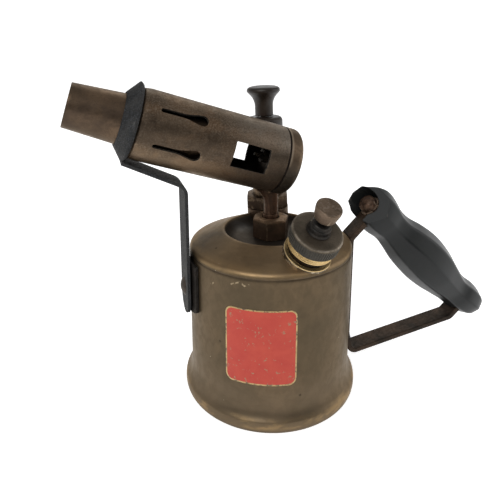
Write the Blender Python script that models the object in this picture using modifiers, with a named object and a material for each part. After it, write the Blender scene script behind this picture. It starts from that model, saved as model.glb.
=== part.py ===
"""Brass paraffin blow lamp, modelled piece by piece in metres, +Z up.

The nozzle points along -X, the handle stands out along +X, and the tank rests on Z = 0.
"""

import math

import bmesh
import bpy
from mathutils import Matrix, Vector

for old in list(bpy.data.objects):
    bpy.data.objects.remove(old, do_unlink=True)

# Clearances and facets shared by the whole lamp
SEAT_GAP = 0.0003
CUT_OVERRUN = 0.002
ROUND_STEPS = 28
SMALL_STEPS = 16
BAR_EDGE_SHARE = 0.25

# Tank
TANK_RADIUS = 0.048
TANK_SHEET = 0.0012
TANK_STEPS = 40
CREASE_HEIGHT = 0.0874
CREASE_DEPTH = 0.0003
SHOULDER_ROUND = 0.0032
DISH_RIM_RADIUS = 0.028
SHOULDER_RISE = 0.0103
DISH_RIM_ROUND = 0.0012
DISH_FLOOR_RADIUS = 0.0185
DISH_DEPTH = 0.0054
FLARE_TOP = 0.0195
FOOT_SWELL = 0.0043
FOOT_BEAD_HEIGHT = 0.007
FOOT_REST_WIDTH = 0.0026
BASE_PLATE_HEIGHT = 0.019
BASE_PLATE_SHEET = 0.001
BASE_PLATE_RISE = 0.0022
BASE_PLATE_FLANGE = 0.0055

# Gland on the tank axis
GLAND_SPIGOT_RADIUS = 0.006
GLAND_BOSS_RADIUS = 0.0078
GLAND_BOSS_HEIGHT = 0.0062
GLAND_SPIGOT_DROP = 0.0045
GLAND_NUT_FLATS = 0.019
GLAND_NUT_HEIGHT = 0.0118
GLAND_NUT_ROOF = 0.0034
GLAND_NUT_CHAMFER = 0.0014
FEED_BORE_RADIUS = 0.0022
FEED_TUBE_RADIUS = 0.0033
FEED_TUBE_CLEARANCE = 0.009
WICK_RADIUS = 0.0018
WICK_TAIL = 0.004

# Burner
BURNER_RISE = 0.0424
BURNER_TILT = math.radians(17.6)
SHROUD_RADIUS = 0.0194
SHROUD_WALL = 0.0016
SHROUD_REAR = -0.0025
SHROUD_FRONT = 0.080
SHROUD_NOSE_ROUND = 0.0016
SHROUD_NOSE_WALL = 0.0024
WINDOW_REAR = 0.0088
WINDOW_LENGTH = 0.020
WINDOW_HEIGHT = 0.0138
WINDOW_DROP = 0.0008
SLOT_HIGH_ANGLE = math.radians(36)
SLOT_LOW_ANGLE = math.radians(-21)
SLOT_TIP = 0.0706
SLOT_TIP_RADIUS = 0.00105
SLOT_BULB = 0.0486
SLOT_BULB_EDGE = math.radians(28)
SLOT_BULB_RADIUS = 0.0031
TUBE_INNER_END = 0.033
TUBE_RADIUS = 0.0138
TUBE_WALL = 0.0012
NOZZLE_START = 0.0874
NOZZLE_START_RADIUS = 0.0135
MOUTH = 0.1139
MOUTH_RADIUS = 0.0116
HEAD_REAR = -0.0115
HEAD_EDGE_ROUND = 0.0034
HEAD_SPIGOT = 0.005
RISER_WIDTH = 0.0082
RISER_DEPTH = 0.0090
RISER_GROOVE = 0.0008
RISER_FERRULE_RADIUS = 0.0047
RISER_FERRULE_LENGTH = 0.0082
RISER_FOOT_RADIUS = 0.0076
RISER_FOOT_HEIGHT = 0.002
GUSSET_REACH = 0.0135
GUSSET_DEPTH = 0.0091
JET_FLATS = 0.0072
JET_HEX_LENGTH = 0.004
JET_TIP_RADIUS = 0.0022
JET_TIP_LENGTH = 0.0042
JET_BORE_RADIUS = 0.0006

# Bracket from the nozzle to the tank
COLLAR_FRONT = 0.0877
COLLAR_RADIUS = 0.0217
COLLAR_SLANT_LENGTH = 0.0061
COLLAR_THICKNESS = 0.0024
STRAP_WIDTH = 0.0195
STRAP_THICKNESS = 0.0018
STRAP_BEND_DROP = 0.0111
STRAP_BEND_RADIUS = 0.006
STRAP_FOOT = 0.0525
PAD_THICKNESS = 0.002
PAD_WIDTH = 0.025
PAD_FOOT = 0.0545
PAD_HEIGHT = 0.030
PAD_CORNER_RISE = 0.0025
RIVET_HEIGHT = 0.0685
RIVET_HEAD_RADIUS = 0.0054
RIVET_HEAD_HEIGHT = 0.0022
RIVET_SHANK_RADIUS = 0.0024

# Filler neck, cap and air release on their leaning axis
FILLER_ANGLE = math.radians(-78)
FILLER_LEAN = math.radians(29.5)
FILLER_CENTRE_RADIUS = 0.0355
FILLER_SINK = 0.0014
FILLER_FLANGE_RADIUS = 0.0133
FILLER_FLANGE_HEIGHT = 0.0038
FILLER_GROOVE_HEIGHT = 0.0014
FILLER_GROOVE_DEPTH = 0.0009
FILLER_THREAD_RADIUS = 0.0127
FILLER_NECK_HEIGHT = 0.0155
FILLER_BORE_RADIUS = 0.0088
FILLER_ROOT_DROP = 0.006
CAP_RADIUS = 0.0139
CAP_TOP = 0.0203
CAP_ROOF = 0.0026
CAP_SKIRT = 0.0080
CAP_EDGE_ROUND = 0.0006
WASHER_BORE_RADIUS = 0.005
RELEASE_SPINDLE_RADIUS = 0.0022
RELEASE_SPINDLE_TAIL = 0.0045
RELEASE_GLAND_FLATS = 0.0116
RELEASE_GLAND_HEIGHT = 0.0058
RELEASE_GLAND_CHAMFER = 0.0012
RELEASE_NECK_HEIGHT = 0.0034
RELEASE_KNOB_RADIUS = 0.0068
RELEASE_KNOB_FOOT_RADIUS = 0.0058
RELEASE_KNOB_HEIGHT = 0.0080
RELEASE_KNOB_SOCKET = 0.004

# Pump, standing in the tank behind the burner
PUMP_ANGLE = math.radians(73.2)
PUMP_CENTRE_RADIUS = 0.0311
PUMP_LEAN = math.radians(2.5)
PUMP_LEAN_TURN = math.radians(-20)
PUMP_SEAT_DROP = 0.0017
PUMP_NECK_RADIUS = 0.0132
PUMP_NECK_HEIGHT = 0.0058
PUMP_NECK_ROOT = 0.0085
LOCK_NUT_CORNERS = 0.0147
LOCK_NUT_HEIGHT = 0.0076
LOCK_NUT_CHAMFER = 0.0012
BARREL_RADIUS = 0.0092
BARREL_WALL = 0.0011
BARREL_TOP = 0.0605
BARREL_FOOT = -0.0540
PUMP_CAP_RADIUS = 0.0114
PUMP_CAP_HEIGHT = 0.0098
PUMP_CAP_ROOF = 0.0030
PUMP_CAP_ROUND = 0.0030
ROD_RADIUS = 0.0022
ROD_FOOT = -0.0490
KNOB_RADIUS = 0.0104
KNOB_STEM_RADIUS = 0.0059
KNOB_HEIGHT = 0.0186
KNOB_LIFT = 0.0006
KNOB_SOCKET_DEPTH = 0.008
PISTON_PLATE_RADIUS = 0.0068
PISTON_PLATE_HEIGHT = 0.002
CUP_HEIGHT = 0.005
CUP_WALL = 0.0013
PISTON_NUT_FLATS = 0.0066
PISTON_NUT_HEIGHT = 0.0026
RUNNING_GAP = 0.0001

# Check valve in the foot of the barrel
VALVE_BODY_LENGTH = 0.0135
VALVE_FLANGE_HEIGHT = 0.003
VALVE_PLUG_IN_LENGTH = 0.0035
VALVE_BODY_RADIUS = 0.0066
VALVE_CHAMBER_RADIUS = 0.0046
VALVE_SEAT_WALL = 0.0022
VALVE_PORT_RADIUS = 0.0011
VALVE_DISC_RADIUS = 0.0036
VALVE_DISC_HEIGHT = 0.0018
VALVE_PLUG_HEIGHT = 0.002
VALVE_WIRE_RADIUS = 0.0003
VALVE_SPRING_RADIUS = 0.0027
VALVE_SPRING_TURNS = 5
VALVE_SPRING_POINTS_PER_TURN = 8

# Handle
HANDLE_TURN = math.radians(-4)
GRIP_STANDOFF = 0.0087
GRIP_RISE = 0.0152
GRIP_LENGTH = 0.1261
GRIP_SLOPE = math.radians(134.2)
GRIP_RADIUS = 0.0161
GRIP_SIDES = 24
GRIP_FACETS = 8
GRIP_FACET_SHARE = 0.016
GRIP_BORE_RADIUS = 0.003
GRIP_RECESS_RADIUS = 0.008
GRIP_RECESS_DEPTH = 0.0149
GRIP_END_LENGTH = 0.0176
HANDLE_WIDTH = 0.012
HANDLE_THICKNESS = 0.0032
HANDLE_BEND_RADIUS = 0.0042
HANDLE_FOOT_CLEARANCE = 0.0007
HANDLE_LOW_HEIGHT = 0.0097
HANDLE_LOW_SLOPE = math.radians(11.7)
HANDLE_KICK_HEIGHT = 0.024
HANDLE_TAB_OVERHANG = 0.0045
BOLT_RADIUS = 0.0025
TOP_NUT_RADIUS = 0.0055
TOP_NUT_HEIGHT = 0.0062
TOP_NUT_BORE_DEPTH = 0.0042
TOP_NUT_WALL_SHARE = 0.4
DOME_STEPS = 4
INSERT_RADIUS = 0.0042
INSERT_LENGTH = 0.0075
GRIP_WASHER_RADIUS = 0.0066
GRIP_WASHER_HEIGHT = 0.001

# Places that several groups share
foot_radius = TANK_RADIUS + FOOT_SWELL
rim_height = CREASE_HEIGHT + SHOULDER_RISE
burner_height = rim_height + BURNER_RISE

lamp = bpy.data.collections.new("brass_blow_lamp")
cutters = bpy.data.collections.new("cutters")
bpy.context.scene.collection.children.link(lamp)
bpy.context.scene.collection.children.link(cutters)


def finish(name, colour, roughness, metallic):
    """A Principled material with one colour."""
    made = bpy.data.materials.new(name)
    made.use_nodes = True
    shader = made.node_tree.nodes["Principled BSDF"]
    shader.inputs["Base Color"].default_value = (*colour, 1.0)
    shader.inputs["Roughness"].default_value = roughness
    shader.inputs["Metallic"].default_value = metallic
    return made


PATINA = ((0.125, 0.088, 0.058), 0.42, 1.0)
SOOTED = ((0.085, 0.062, 0.042), 0.48, 1.0)
BRIGHT = ((0.55, 0.38, 0.16), 0.30, 1.0)
BLACK_STEEL = ((0.028, 0.028, 0.030), 0.45, 1.0)
BROWN_STEEL = ((0.036, 0.026, 0.022), 0.55, 1.0)
BAKELITE = ((0.022, 0.023, 0.023), 0.35, 0.0)
LEATHER = ((0.08, 0.045, 0.025), 0.8, 0.0)
COTTON = ((0.55, 0.5, 0.42), 0.95, 0.0)
CORK = ((0.25, 0.15, 0.08), 0.9, 0.0)


def empty(name, location=(0, 0, 0), rotation=(0, 0, 0), parent=None):
    """An axis that the pieces of one group are placed on."""
    axis = bpy.data.objects.new(name, None)
    axis.location = location
    axis.rotation_euler = rotation
    axis.parent = parent
    lamp.objects.link(axis)
    return axis


def place(piece, parent, look=None, cutter=False):
    """Link a piece to its collection, its axis and its material."""
    piece.parent = parent
    if cutter:
        cutters.objects.link(piece)
        piece.hide_render = True
        piece.display_type = "WIRE"
        return piece
    lamp.objects.link(piece)
    piece.data.materials.append(finish(piece.name + "_finish", *look))
    return piece


def turned(name, profile, parent, look=None, steps=ROUND_STEPS, closed=False, cutter=False):
    """A lathe shape: (radius, height) points that run down its outer side."""
    points = [(radius, 0.0, height) for radius, height in profile]
    edges = [(at, at + 1) for at in range(len(points) - 1)]
    if closed:
        edges.append((len(points) - 1, 0))
    mesh = bpy.data.meshes.new(name)
    mesh.from_pydata(points, edges, [])
    piece = place(bpy.data.objects.new(name, mesh), parent, look, cutter)
    screw = piece.modifiers.new("turn", "SCREW")
    screw.axis = "Z"
    screw.angle = math.tau
    screw.steps = steps
    screw.render_steps = steps
    screw.use_merge_vertices = True
    screw.merge_threshold = 0.00001
    screw.use_smooth_shade = True
    return piece


def loft(name, rings, parent, look=None, cutter=False):
    """A closed skin through rings of points that all have the same count."""
    shape = bmesh.new()
    loops = [[shape.verts.new(point) for point in ring] for ring in rings]
    count = len(loops[0])
    for here, after in zip(loops, loops[1:]):
        for at in range(count):
            beside = (at + 1) % count
            shape.faces.new((here[at], here[beside], after[beside], after[at]))
    shape.faces.new(list(reversed(loops[0])))
    shape.faces.new(loops[-1])
    bmesh.ops.recalc_face_normals(shape, faces=shape.faces)
    mesh = bpy.data.meshes.new(name)
    shape.to_mesh(mesh)
    shape.free()
    return place(bpy.data.objects.new(name, mesh), parent, look, cutter)


def prism(name, corners, corner_radius, low, high, parent, turn=0.0):
    """A regular upright prism that nuts are cut to."""
    shape = bmesh.new()
    middle = Matrix.Translation((0, 0, (low + high) / 2)) @ Matrix.Rotation(turn, 4, "Z")
    bmesh.ops.create_cone(shape, cap_ends=True, segments=corners, radius1=corner_radius,
                          radius2=corner_radius, depth=high - low, matrix=middle)
    mesh = bpy.data.meshes.new(name)
    shape.to_mesh(mesh)
    shape.free()
    return place(bpy.data.objects.new(name, mesh), parent, cutter=True)


def block(name, low, high, parent, matrix=None):
    """A box cutter between two corners."""
    shape = bmesh.new()
    size = [b - a for a, b in zip(low, high)]
    centre = [(a + b) / 2 for a, b in zip(low, high)]
    bmesh.ops.create_cube(shape, size=1)
    bmesh.ops.scale(shape, vec=size, verts=shape.verts)
    bmesh.ops.translate(shape, vec=centre, verts=shape.verts)
    if matrix is not None:
        bmesh.ops.transform(shape, matrix=matrix, verts=shape.verts)
    mesh = bpy.data.meshes.new(name)
    shape.to_mesh(mesh)
    shape.free()
    return place(bpy.data.objects.new(name, mesh), parent, cutter=True)


def combine(piece, other, operation="DIFFERENCE"):
    """Cut, join or intersect a piece with another object."""
    step = piece.modifiers.new(other.name, "BOOLEAN")
    step.operation = operation
    step.solver = "EXACT"
    step.object = other


def arc(centre, radius, start, end, count):
    """Points on an arc, angles from +X."""
    turns = [start + (end - start) * at / (count - 1) for at in range(count)]
    return [(centre[0] + radius * math.cos(a), centre[1] + radius * math.sin(a)) for a in turns]


def nut(name, flats, low, high, bore, chamfer, parent, look, recess=None, turn=0.0):
    """A chamfered hexagon nut; a recess is a wider bore, (radius, roof height)."""
    corner = flats / math.sqrt(3)
    profile = [(bore, high), (corner - chamfer, high), (corner + SEAT_GAP, high - chamfer),
               (corner + SEAT_GAP, low + chamfer / 2), (corner - chamfer / 2, low)]
    if recess:
        profile += [(recess[0], low), (recess[0], recess[1]), (bore, recess[1])]
    else:
        profile += [(bore, low)]
    piece = turned(name, profile, parent, look, SMALL_STEPS + 4, closed=True)
    shape = prism(name + "_hexagon", 6, corner, low - CUT_OVERRUN, high + CUT_OVERRUN, parent, turn)
    combine(piece, shape, "INTERSECT")
    return piece


def rounded(points, radius, steps=4):
    """A path of (x, z) points whose inner corners are arcs of the given radius."""
    path = [Vector(points[0])]
    for before, corner, after in zip(points, points[1:], points[2:]):
        corner = Vector(corner)
        inward = (Vector(before) - corner).normalized()
        outward = (Vector(after) - corner).normalized()
        half = inward.angle(outward) / 2
        run = radius / math.tan(half)
        centre = corner + (inward + outward).normalized() * radius / math.sin(half)
        start = corner + inward * run - centre
        turn = start.angle_signed(corner + outward * run - centre)
        for at in range(steps + 1):
            path.append(centre + Matrix.Rotation(-turn * at / steps, 2) @ start)
    path.append(Vector(points[-1]))
    return path


def frames(path):
    """Each point of an (x, z) path with the direction square to it, to its left."""
    made = []
    for at, point in enumerate(path):
        before = path[max(at - 1, 0)]
        after = path[min(at + 1, len(path) - 1)]
        along = (Vector(after) - Vector(before)).normalized()
        made.append((Vector((point[0], 0, point[1])), Vector((-along.y, 0, along.x))))
    return made


def strip(name, path, widths, thickness, parent, look):
    """A flat bar with worn edges along an (x, z) path, with its width across the path."""
    edge = thickness * BAR_EDGE_SHARE
    rings = []
    for (middle, side), width in zip(frames(path), widths):
        half = thickness / 2
        ring = []
        for across, up in ((edge - width / 2, -half), (width / 2 - edge, -half),
                           (width / 2, edge - half), (width / 2, half - edge),
                           (width / 2 - edge, half), (edge - width / 2, half),
                           (-width / 2, half - edge), (-width / 2, edge - half)):
            ring.append(middle + Vector((0, across, 0)) + side * up)
        rings.append(ring)
    return loft(name, rings, parent, look)


# The stand carries every axis, and ends with its origin under the middle of the lamp's box
stand = empty("stand")
burner = empty("burner_axis", (0, 0, burner_height), (0, BURNER_TILT - math.pi / 2, 0), stand)


# Tank: one drawn shell whose top is pressed into a priming dish and whose foot is rolled
shoulder_slope = (rim_height - CREASE_HEIGHT - SHOULDER_ROUND) / (
    TANK_RADIUS - SHOULDER_ROUND / 2 - DISH_RIM_RADIUS)
shoulder_angle = math.atan(shoulder_slope)
dish_floor = rim_height - DISH_DEPTH
dish_slope_shares = ((0.0, 0.0), (0.35, 0.07), (0.68, 0.32), (0.9, 0.72))
flare_shares = ((0.0, 0.0), (0.05, 0.18), (0.16, 0.43), (0.38, 0.67), (0.60, 0.83), (0.80, 0.95))
bead_shares = ((0.88, 0.94), (0.97, 0.78), (1.0, 0.50), (0.95, 0.25), (0.80, 0.07), (0.58, 0.0))


def tank_outline(inner_radius):
    """The shell's outer side, from the dish floor over the shoulder to the foot."""
    dish_wall = DISH_RIM_RADIUS - DISH_RIM_ROUND - DISH_FLOOR_RADIUS
    points = [(inner_radius, dish_floor)]
    for out, up in dish_slope_shares:
        points.append((DISH_FLOOR_RADIUS + dish_wall * out, dish_floor + DISH_DEPTH * up))
    points += [(DISH_RIM_RADIUS - DISH_RIM_ROUND / 2, rim_height - DISH_RIM_ROUND / 8),
               (DISH_RIM_RADIUS + DISH_RIM_ROUND, rim_height - DISH_RIM_ROUND / 8)]
    round_centre = (TANK_RADIUS - SHOULDER_ROUND, CREASE_HEIGHT + CREASE_DEPTH)
    points += arc(round_centre, SHOULDER_ROUND, math.pi / 2 - shoulder_angle, 0, 4)
    points += [(TANK_RADIUS - CREASE_DEPTH, CREASE_HEIGHT - CREASE_DEPTH),
               (TANK_RADIUS, CREASE_HEIGHT - 3 * CREASE_DEPTH)]
    for out, down in flare_shares:
        height = FLARE_TOP - (FLARE_TOP - FOOT_BEAD_HEIGHT) * down
        points.append((TANK_RADIUS + FOOT_SWELL * out, height))
    for out, up in bead_shares:
        points.append((TANK_RADIUS + FOOT_SWELL * out, FOOT_BEAD_HEIGHT * up))
    points.append((points[-1][0] - FOOT_REST_WIDTH, 0.0))
    return points


shell_outline = tank_outline(GLAND_SPIGOT_RADIUS + SEAT_GAP)
tank_shell = turned("tank_shell", shell_outline, stand, PATINA, TANK_STEPS)
sheet = tank_shell.modifiers.new("sheet", "SOLIDIFY")
sheet.thickness = TANK_SHEET
sheet.offset = -1
sheet.use_even_offset = True

# A solid of the tank's top, one seat gap proud, shapes the feet of the necks that stand on it
top_outline = tank_outline(0.0)
proud = [(radius, height + SEAT_GAP / math.cos(shoulder_angle)) for radius, height in top_outline]
proud = [point for point in proud if point[1] > FLARE_TOP]
proud[-1] = (proud[-1][0], CREASE_HEIGHT / 2)
tank_form = turned("tank_form", proud + [(0.0, CREASE_HEIGHT / 2)], stand, steps=TANK_STEPS,
                   cutter=True)

plate_radius = TANK_RADIUS - TANK_SHEET - SEAT_GAP
plate_outline = [(0.0, BASE_PLATE_HEIGHT + BASE_PLATE_RISE),
                 (plate_radius - 4 * BASE_PLATE_SHEET, BASE_PLATE_HEIGHT + BASE_PLATE_RISE / 2),
                 (plate_radius, BASE_PLATE_HEIGHT - BASE_PLATE_SHEET),
                 (plate_radius, BASE_PLATE_HEIGHT - BASE_PLATE_FLANGE)]
base_plate = turned("base_plate", plate_outline, stand, PATINA, TANK_STEPS)
plate_sheet = base_plate.modifiers.new("sheet", "SOLIDIFY")
plate_sheet.thickness = BASE_PLATE_SHEET
plate_sheet.offset = -1
plate_sheet.use_even_offset = True


# Gland: the screwed stub on the tank, the feed tube and wick under it, and its hexagon nut
stub_foot = dish_floor - GLAND_SPIGOT_DROP
stub_top = dish_floor + GLAND_BOSS_HEIGHT
turned("tank_gland", [
    (FEED_BORE_RADIUS, stub_top), (GLAND_BOSS_RADIUS, stub_top),
    (GLAND_BOSS_RADIUS, dish_floor + SEAT_GAP), (GLAND_SPIGOT_RADIUS, dish_floor + SEAT_GAP),
    (GLAND_SPIGOT_RADIUS, stub_foot), (FEED_BORE_RADIUS, stub_foot)],
    stand, BRIGHT, SMALL_STEPS, closed=True)
feed_top = stub_foot - SEAT_GAP
feed_foot = BASE_PLATE_HEIGHT + FEED_TUBE_CLEARANCE
turned("feed_tube", [
    (FEED_BORE_RADIUS, feed_top), (FEED_TUBE_RADIUS, feed_top),
    (FEED_TUBE_RADIUS, feed_foot), (FEED_BORE_RADIUS, feed_foot)],
    stand, BRIGHT, SMALL_STEPS, closed=True)
turned("feed_wick", [
    (0.0, stub_foot), (WICK_RADIUS, stub_foot), (WICK_RADIUS, feed_foot - WICK_TAIL),
    (0.0, feed_foot - WICK_TAIL)], stand, COTTON, SMALL_STEPS)
nut_foot = dish_floor + 2 * SEAT_GAP
nut_top = nut_foot + GLAND_NUT_HEIGHT
riser_foot = stub_top + SEAT_GAP
nut("gland_nut", GLAND_NUT_FLATS, nut_foot, nut_top, RISER_FERRULE_RADIUS + SEAT_GAP,
    GLAND_NUT_CHAMFER, stand, PATINA,
    recess=(GLAND_BOSS_RADIUS + SEAT_GAP, riser_foot + RISER_FOOT_HEIGHT + SEAT_GAP))


# Burner head: one casting of the riser, its gusset and the closed rear drum of the burner
def riser_ring(height, reach, width_share=1.0):
    """A two-lobed section of the riser that reaches further towards the nozzle."""
    ring = []
    for at in range(SMALL_STEPS):
        angle = math.tau * at / SMALL_STEPS
        waist = 1 - (2 * RISER_GROOVE / RISER_DEPTH) * math.sin(angle) ** 8
        x = RISER_WIDTH / 2 * math.cos(angle) * width_share
        if math.cos(angle) < 0:
            x *= 1 + 2 * reach / RISER_WIDTH
        ring.append(Vector((x, RISER_DEPTH / 2 * math.sin(angle) * waist * width_share, height)))
    return ring


riser_head = burner_height - SHROUD_RADIUS * math.cos(BURNER_TILT)
gusset_foot = riser_head - GUSSET_DEPTH
ferrule_top = riser_foot + RISER_FERRULE_LENGTH
gusset_shares = ((0.0, 0.0), (0.35, 0.10), (0.60, 0.28), (0.80, 0.56), (0.93, 0.84), (1.0, 1.0))
gusset_rise = riser_head + SHROUD_RADIUS / 4 - gusset_foot
riser_rings = [riser_ring(ferrule_top - CUT_OVERRUN, 0.0)]
for up, out in gusset_shares:
    riser_rings.append(riser_ring(gusset_foot + gusset_rise * up, GUSSET_REACH * out))
riser = loft("riser_form", riser_rings, stand, cutter=True)
saddle = turned("saddle_cut", [
    (0.0, SHROUD_FRONT), (SHROUD_RADIUS + SEAT_GAP, SHROUD_FRONT),
    (SHROUD_RADIUS + SEAT_GAP, SHROUD_REAR - SEAT_GAP), (0.0, SHROUD_REAR - SEAT_GAP)],
    burner, cutter=True)
combine(riser, saddle)
ferrule = turned("ferrule_form", [
    (0.0, ferrule_top), (RISER_FERRULE_RADIUS, ferrule_top),
    (RISER_FERRULE_RADIUS, riser_foot + RISER_FOOT_HEIGHT),
    (RISER_FOOT_RADIUS, riser_foot + RISER_FOOT_HEIGHT), (RISER_FOOT_RADIUS, riser_foot),
    (0.0, riser_foot)], stand, steps=SMALL_STEPS, cutter=True)
drum_front = SHROUD_REAR - SEAT_GAP
spigot_radius = SHROUD_RADIUS - SHROUD_WALL - SEAT_GAP
drum_outline = [(0.0, drum_front + HEAD_SPIGOT), (spigot_radius, drum_front + HEAD_SPIGOT),
                (spigot_radius, drum_front), (SHROUD_RADIUS, drum_front)]
drum_outline += arc((SHROUD_RADIUS - HEAD_EDGE_ROUND, HEAD_REAR + HEAD_EDGE_ROUND),
                    HEAD_EDGE_ROUND, 0, -math.pi / 2, 4)
drum_outline.append((0.0, HEAD_REAR))
burner_head = turned("burner_head", drum_outline, burner, SOOTED)
combine(burner_head, riser, "UNION")
combine(burner_head, ferrule, "UNION")

jet_foot = drum_front + HEAD_SPIGOT + SEAT_GAP
jet_hex_top = jet_foot + JET_HEX_LENGTH
jet_corner = JET_FLATS / math.sqrt(3)
jet = turned("jet_nipple", [
    (JET_BORE_RADIUS, jet_hex_top + JET_TIP_LENGTH), (JET_TIP_RADIUS / 2, jet_hex_top + JET_TIP_LENGTH),
    (JET_TIP_RADIUS, jet_hex_top), (jet_corner + SEAT_GAP, jet_hex_top),
    (jet_corner + SEAT_GAP, jet_foot), (JET_BORE_RADIUS, jet_foot)],
    burner, BRIGHT, SMALL_STEPS, closed=True)
combine(jet, prism("jet_hexagon", 6, jet_corner, jet_foot - CUT_OVERRUN,
                   jet_hex_top + 2 * JET_TIP_LENGTH, burner), "INTERSECT")


# Shroud: a tube with two square air windows and a ring of teardrop slots
nose_bore = TUBE_RADIUS + SEAT_GAP
shroud = turned("burner_shroud", [
    (nose_bore, SHROUD_FRONT), (SHROUD_RADIUS - SHROUD_NOSE_ROUND, SHROUD_FRONT),
    (SHROUD_RADIUS - SHROUD_NOSE_ROUND / 4, SHROUD_FRONT - SHROUD_NOSE_ROUND),
    (SHROUD_RADIUS, SHROUD_FRONT - 3 * SHROUD_NOSE_ROUND),
    (SHROUD_RADIUS, SHROUD_REAR), (SHROUD_RADIUS - SHROUD_WALL, SHROUD_REAR),
    (SHROUD_RADIUS - SHROUD_WALL, SHROUD_FRONT - SHROUD_NOSE_WALL),
    (nose_bore, SHROUD_FRONT - SHROUD_NOSE_WALL)], burner, SOOTED, ROUND_STEPS + 8, closed=True)
window_reach = SHROUD_RADIUS + CUT_OVERRUN
combine(shroud, block("window_cut", (-WINDOW_HEIGHT / 2 - WINDOW_DROP, -window_reach, WINDOW_REAR),
                      (WINDOW_HEIGHT / 2 - WINDOW_DROP, window_reach, WINDOW_REAR + WINDOW_LENGTH),
                      burner))
slot_flank_shares = ((0.60, 1.0), (0.36, 1.35))


def teardrop():
    """Half-width and station points of one slot, round at both ends."""
    outline = arc((0.0, SLOT_BULB), SLOT_BULB_RADIUS, math.pi + SLOT_BULB_EDGE,
                  math.tau - SLOT_BULB_EDGE, 6)
    outline.append((SLOT_BULB_RADIUS, SLOT_BULB + SLOT_BULB_RADIUS / 8))
    span = SLOT_TIP - SLOT_BULB
    for along, wide in reversed(slot_flank_shares):
        outline.append((SLOT_TIP_RADIUS * wide, SLOT_BULB + span * along))
    outline += arc((0.0, SLOT_TIP - SLOT_TIP_RADIUS), SLOT_TIP_RADIUS, 0.0, math.pi, 4)
    for along, wide in slot_flank_shares:
        outline.append((-SLOT_TIP_RADIUS * wide, SLOT_BULB + span * along))
    outline.append((-SLOT_BULB_RADIUS, SLOT_BULB + SLOT_BULB_RADIUS / 8))
    return outline


slot_angles = (SLOT_HIGH_ANGLE, SLOT_LOW_ANGLE, math.pi - SLOT_LOW_ANGLE, math.pi - SLOT_HIGH_ANGLE)
for number, angle in enumerate(slot_angles):
    turn = Matrix.Rotation(angle - math.pi / 2, 4, "Z")
    near = SHROUD_RADIUS - SHROUD_WALL - CUT_OVERRUN
    far = SHROUD_RADIUS + CUT_OVERRUN
    rings = [[turn @ Vector((reach, x, z)) for x, z in teardrop()] for reach in (near, far)]
    combine(shroud, loft(f"slot_cut_{number}", rings, burner, cutter=True))

# Flame tube: runs from inside the shroud out through its nose and tapers to the mouth
turned("flame_tube", [
    (MOUTH_RADIUS - TUBE_WALL, MOUTH), (MOUTH_RADIUS - TUBE_WALL / 4, MOUTH),
    (MOUTH_RADIUS, MOUTH - TUBE_WALL / 2), (NOZZLE_START_RADIUS, NOZZLE_START),
    (TUBE_RADIUS, SHROUD_FRONT), (TUBE_RADIUS, TUBE_INNER_END),
    (TUBE_RADIUS - TUBE_WALL, TUBE_INNER_END), (TUBE_RADIUS - TUBE_WALL, SHROUD_FRONT),
    (NOZZLE_START_RADIUS - TUBE_WALL, NOZZLE_START)], burner, SOOTED, closed=True)


# Bracket: a coned collar round the nozzle, in one piece with the strap down to the tank
collar_bore = TUBE_RADIUS + SEAT_GAP
collar_edge = COLLAR_FRONT - COLLAR_SLANT_LENGTH
cone_angle = math.atan2(COLLAR_RADIUS - collar_bore, COLLAR_SLANT_LENGTH)
back_in = COLLAR_THICKNESS * math.cos(cone_angle)
back_down = COLLAR_THICKNESS * math.sin(cone_angle)
collar = turned("collar_form", [
    (collar_bore, COLLAR_FRONT), (COLLAR_RADIUS, collar_edge),
    (COLLAR_RADIUS - back_in, collar_edge - back_down), (collar_bore, COLLAR_FRONT - back_down)],
    burner, closed=True, cutter=True)

strap_radius = TANK_RADIUS + 2 * SEAT_GAP + PAD_THICKNESS + STRAP_THICKNESS / 2
collar_foot = COLLAR_RADIUS - back_in / 2
strap_top = Vector((-collar_edge * math.cos(BURNER_TILT) - collar_foot * math.sin(BURNER_TILT),
                    burner_height + collar_edge * math.sin(BURNER_TILT)
                    - collar_foot * math.cos(BURNER_TILT)))
strap_bend = (-strap_radius, burner_height - STRAP_BEND_DROP)
strap_path = rounded([strap_top, strap_bend, (-strap_radius, STRAP_FOOT)], STRAP_BEND_RADIUS)
round_end_shares = ((0.5, 1.0), (0.26, 0.88), (0.09, 0.60), (0.0, 0.24))
strap_path.pop()
strap_widths = [STRAP_WIDTH] * len(strap_path)
for up, wide in round_end_shares:
    strap_path.append(Vector((-strap_radius, STRAP_FOOT + STRAP_WIDTH * up)))
    strap_widths.append(STRAP_WIDTH * wide)
bracket = strip("burner_bracket", strap_path, strap_widths, STRAP_THICKNESS, stand, BLACK_STEEL)
combine(bracket, collar, "UNION")
nozzle_clearance = turned("nozzle_clearance", [
    (0.0, MOUTH), (collar_bore, MOUTH), (collar_bore, SHROUD_FRONT + SEAT_GAP),
    (SHROUD_RADIUS - SHROUD_NOSE_ROUND / 2 + SEAT_GAP, SHROUD_FRONT + SEAT_GAP),
    (SHROUD_RADIUS + SEAT_GAP, SHROUD_FRONT - SHROUD_NOSE_ROUND),
    (SHROUD_RADIUS + SEAT_GAP, SHROUD_REAR), (0.0, SHROUD_REAR)], burner, cutter=True)
combine(bracket, nozzle_clearance)

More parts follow.
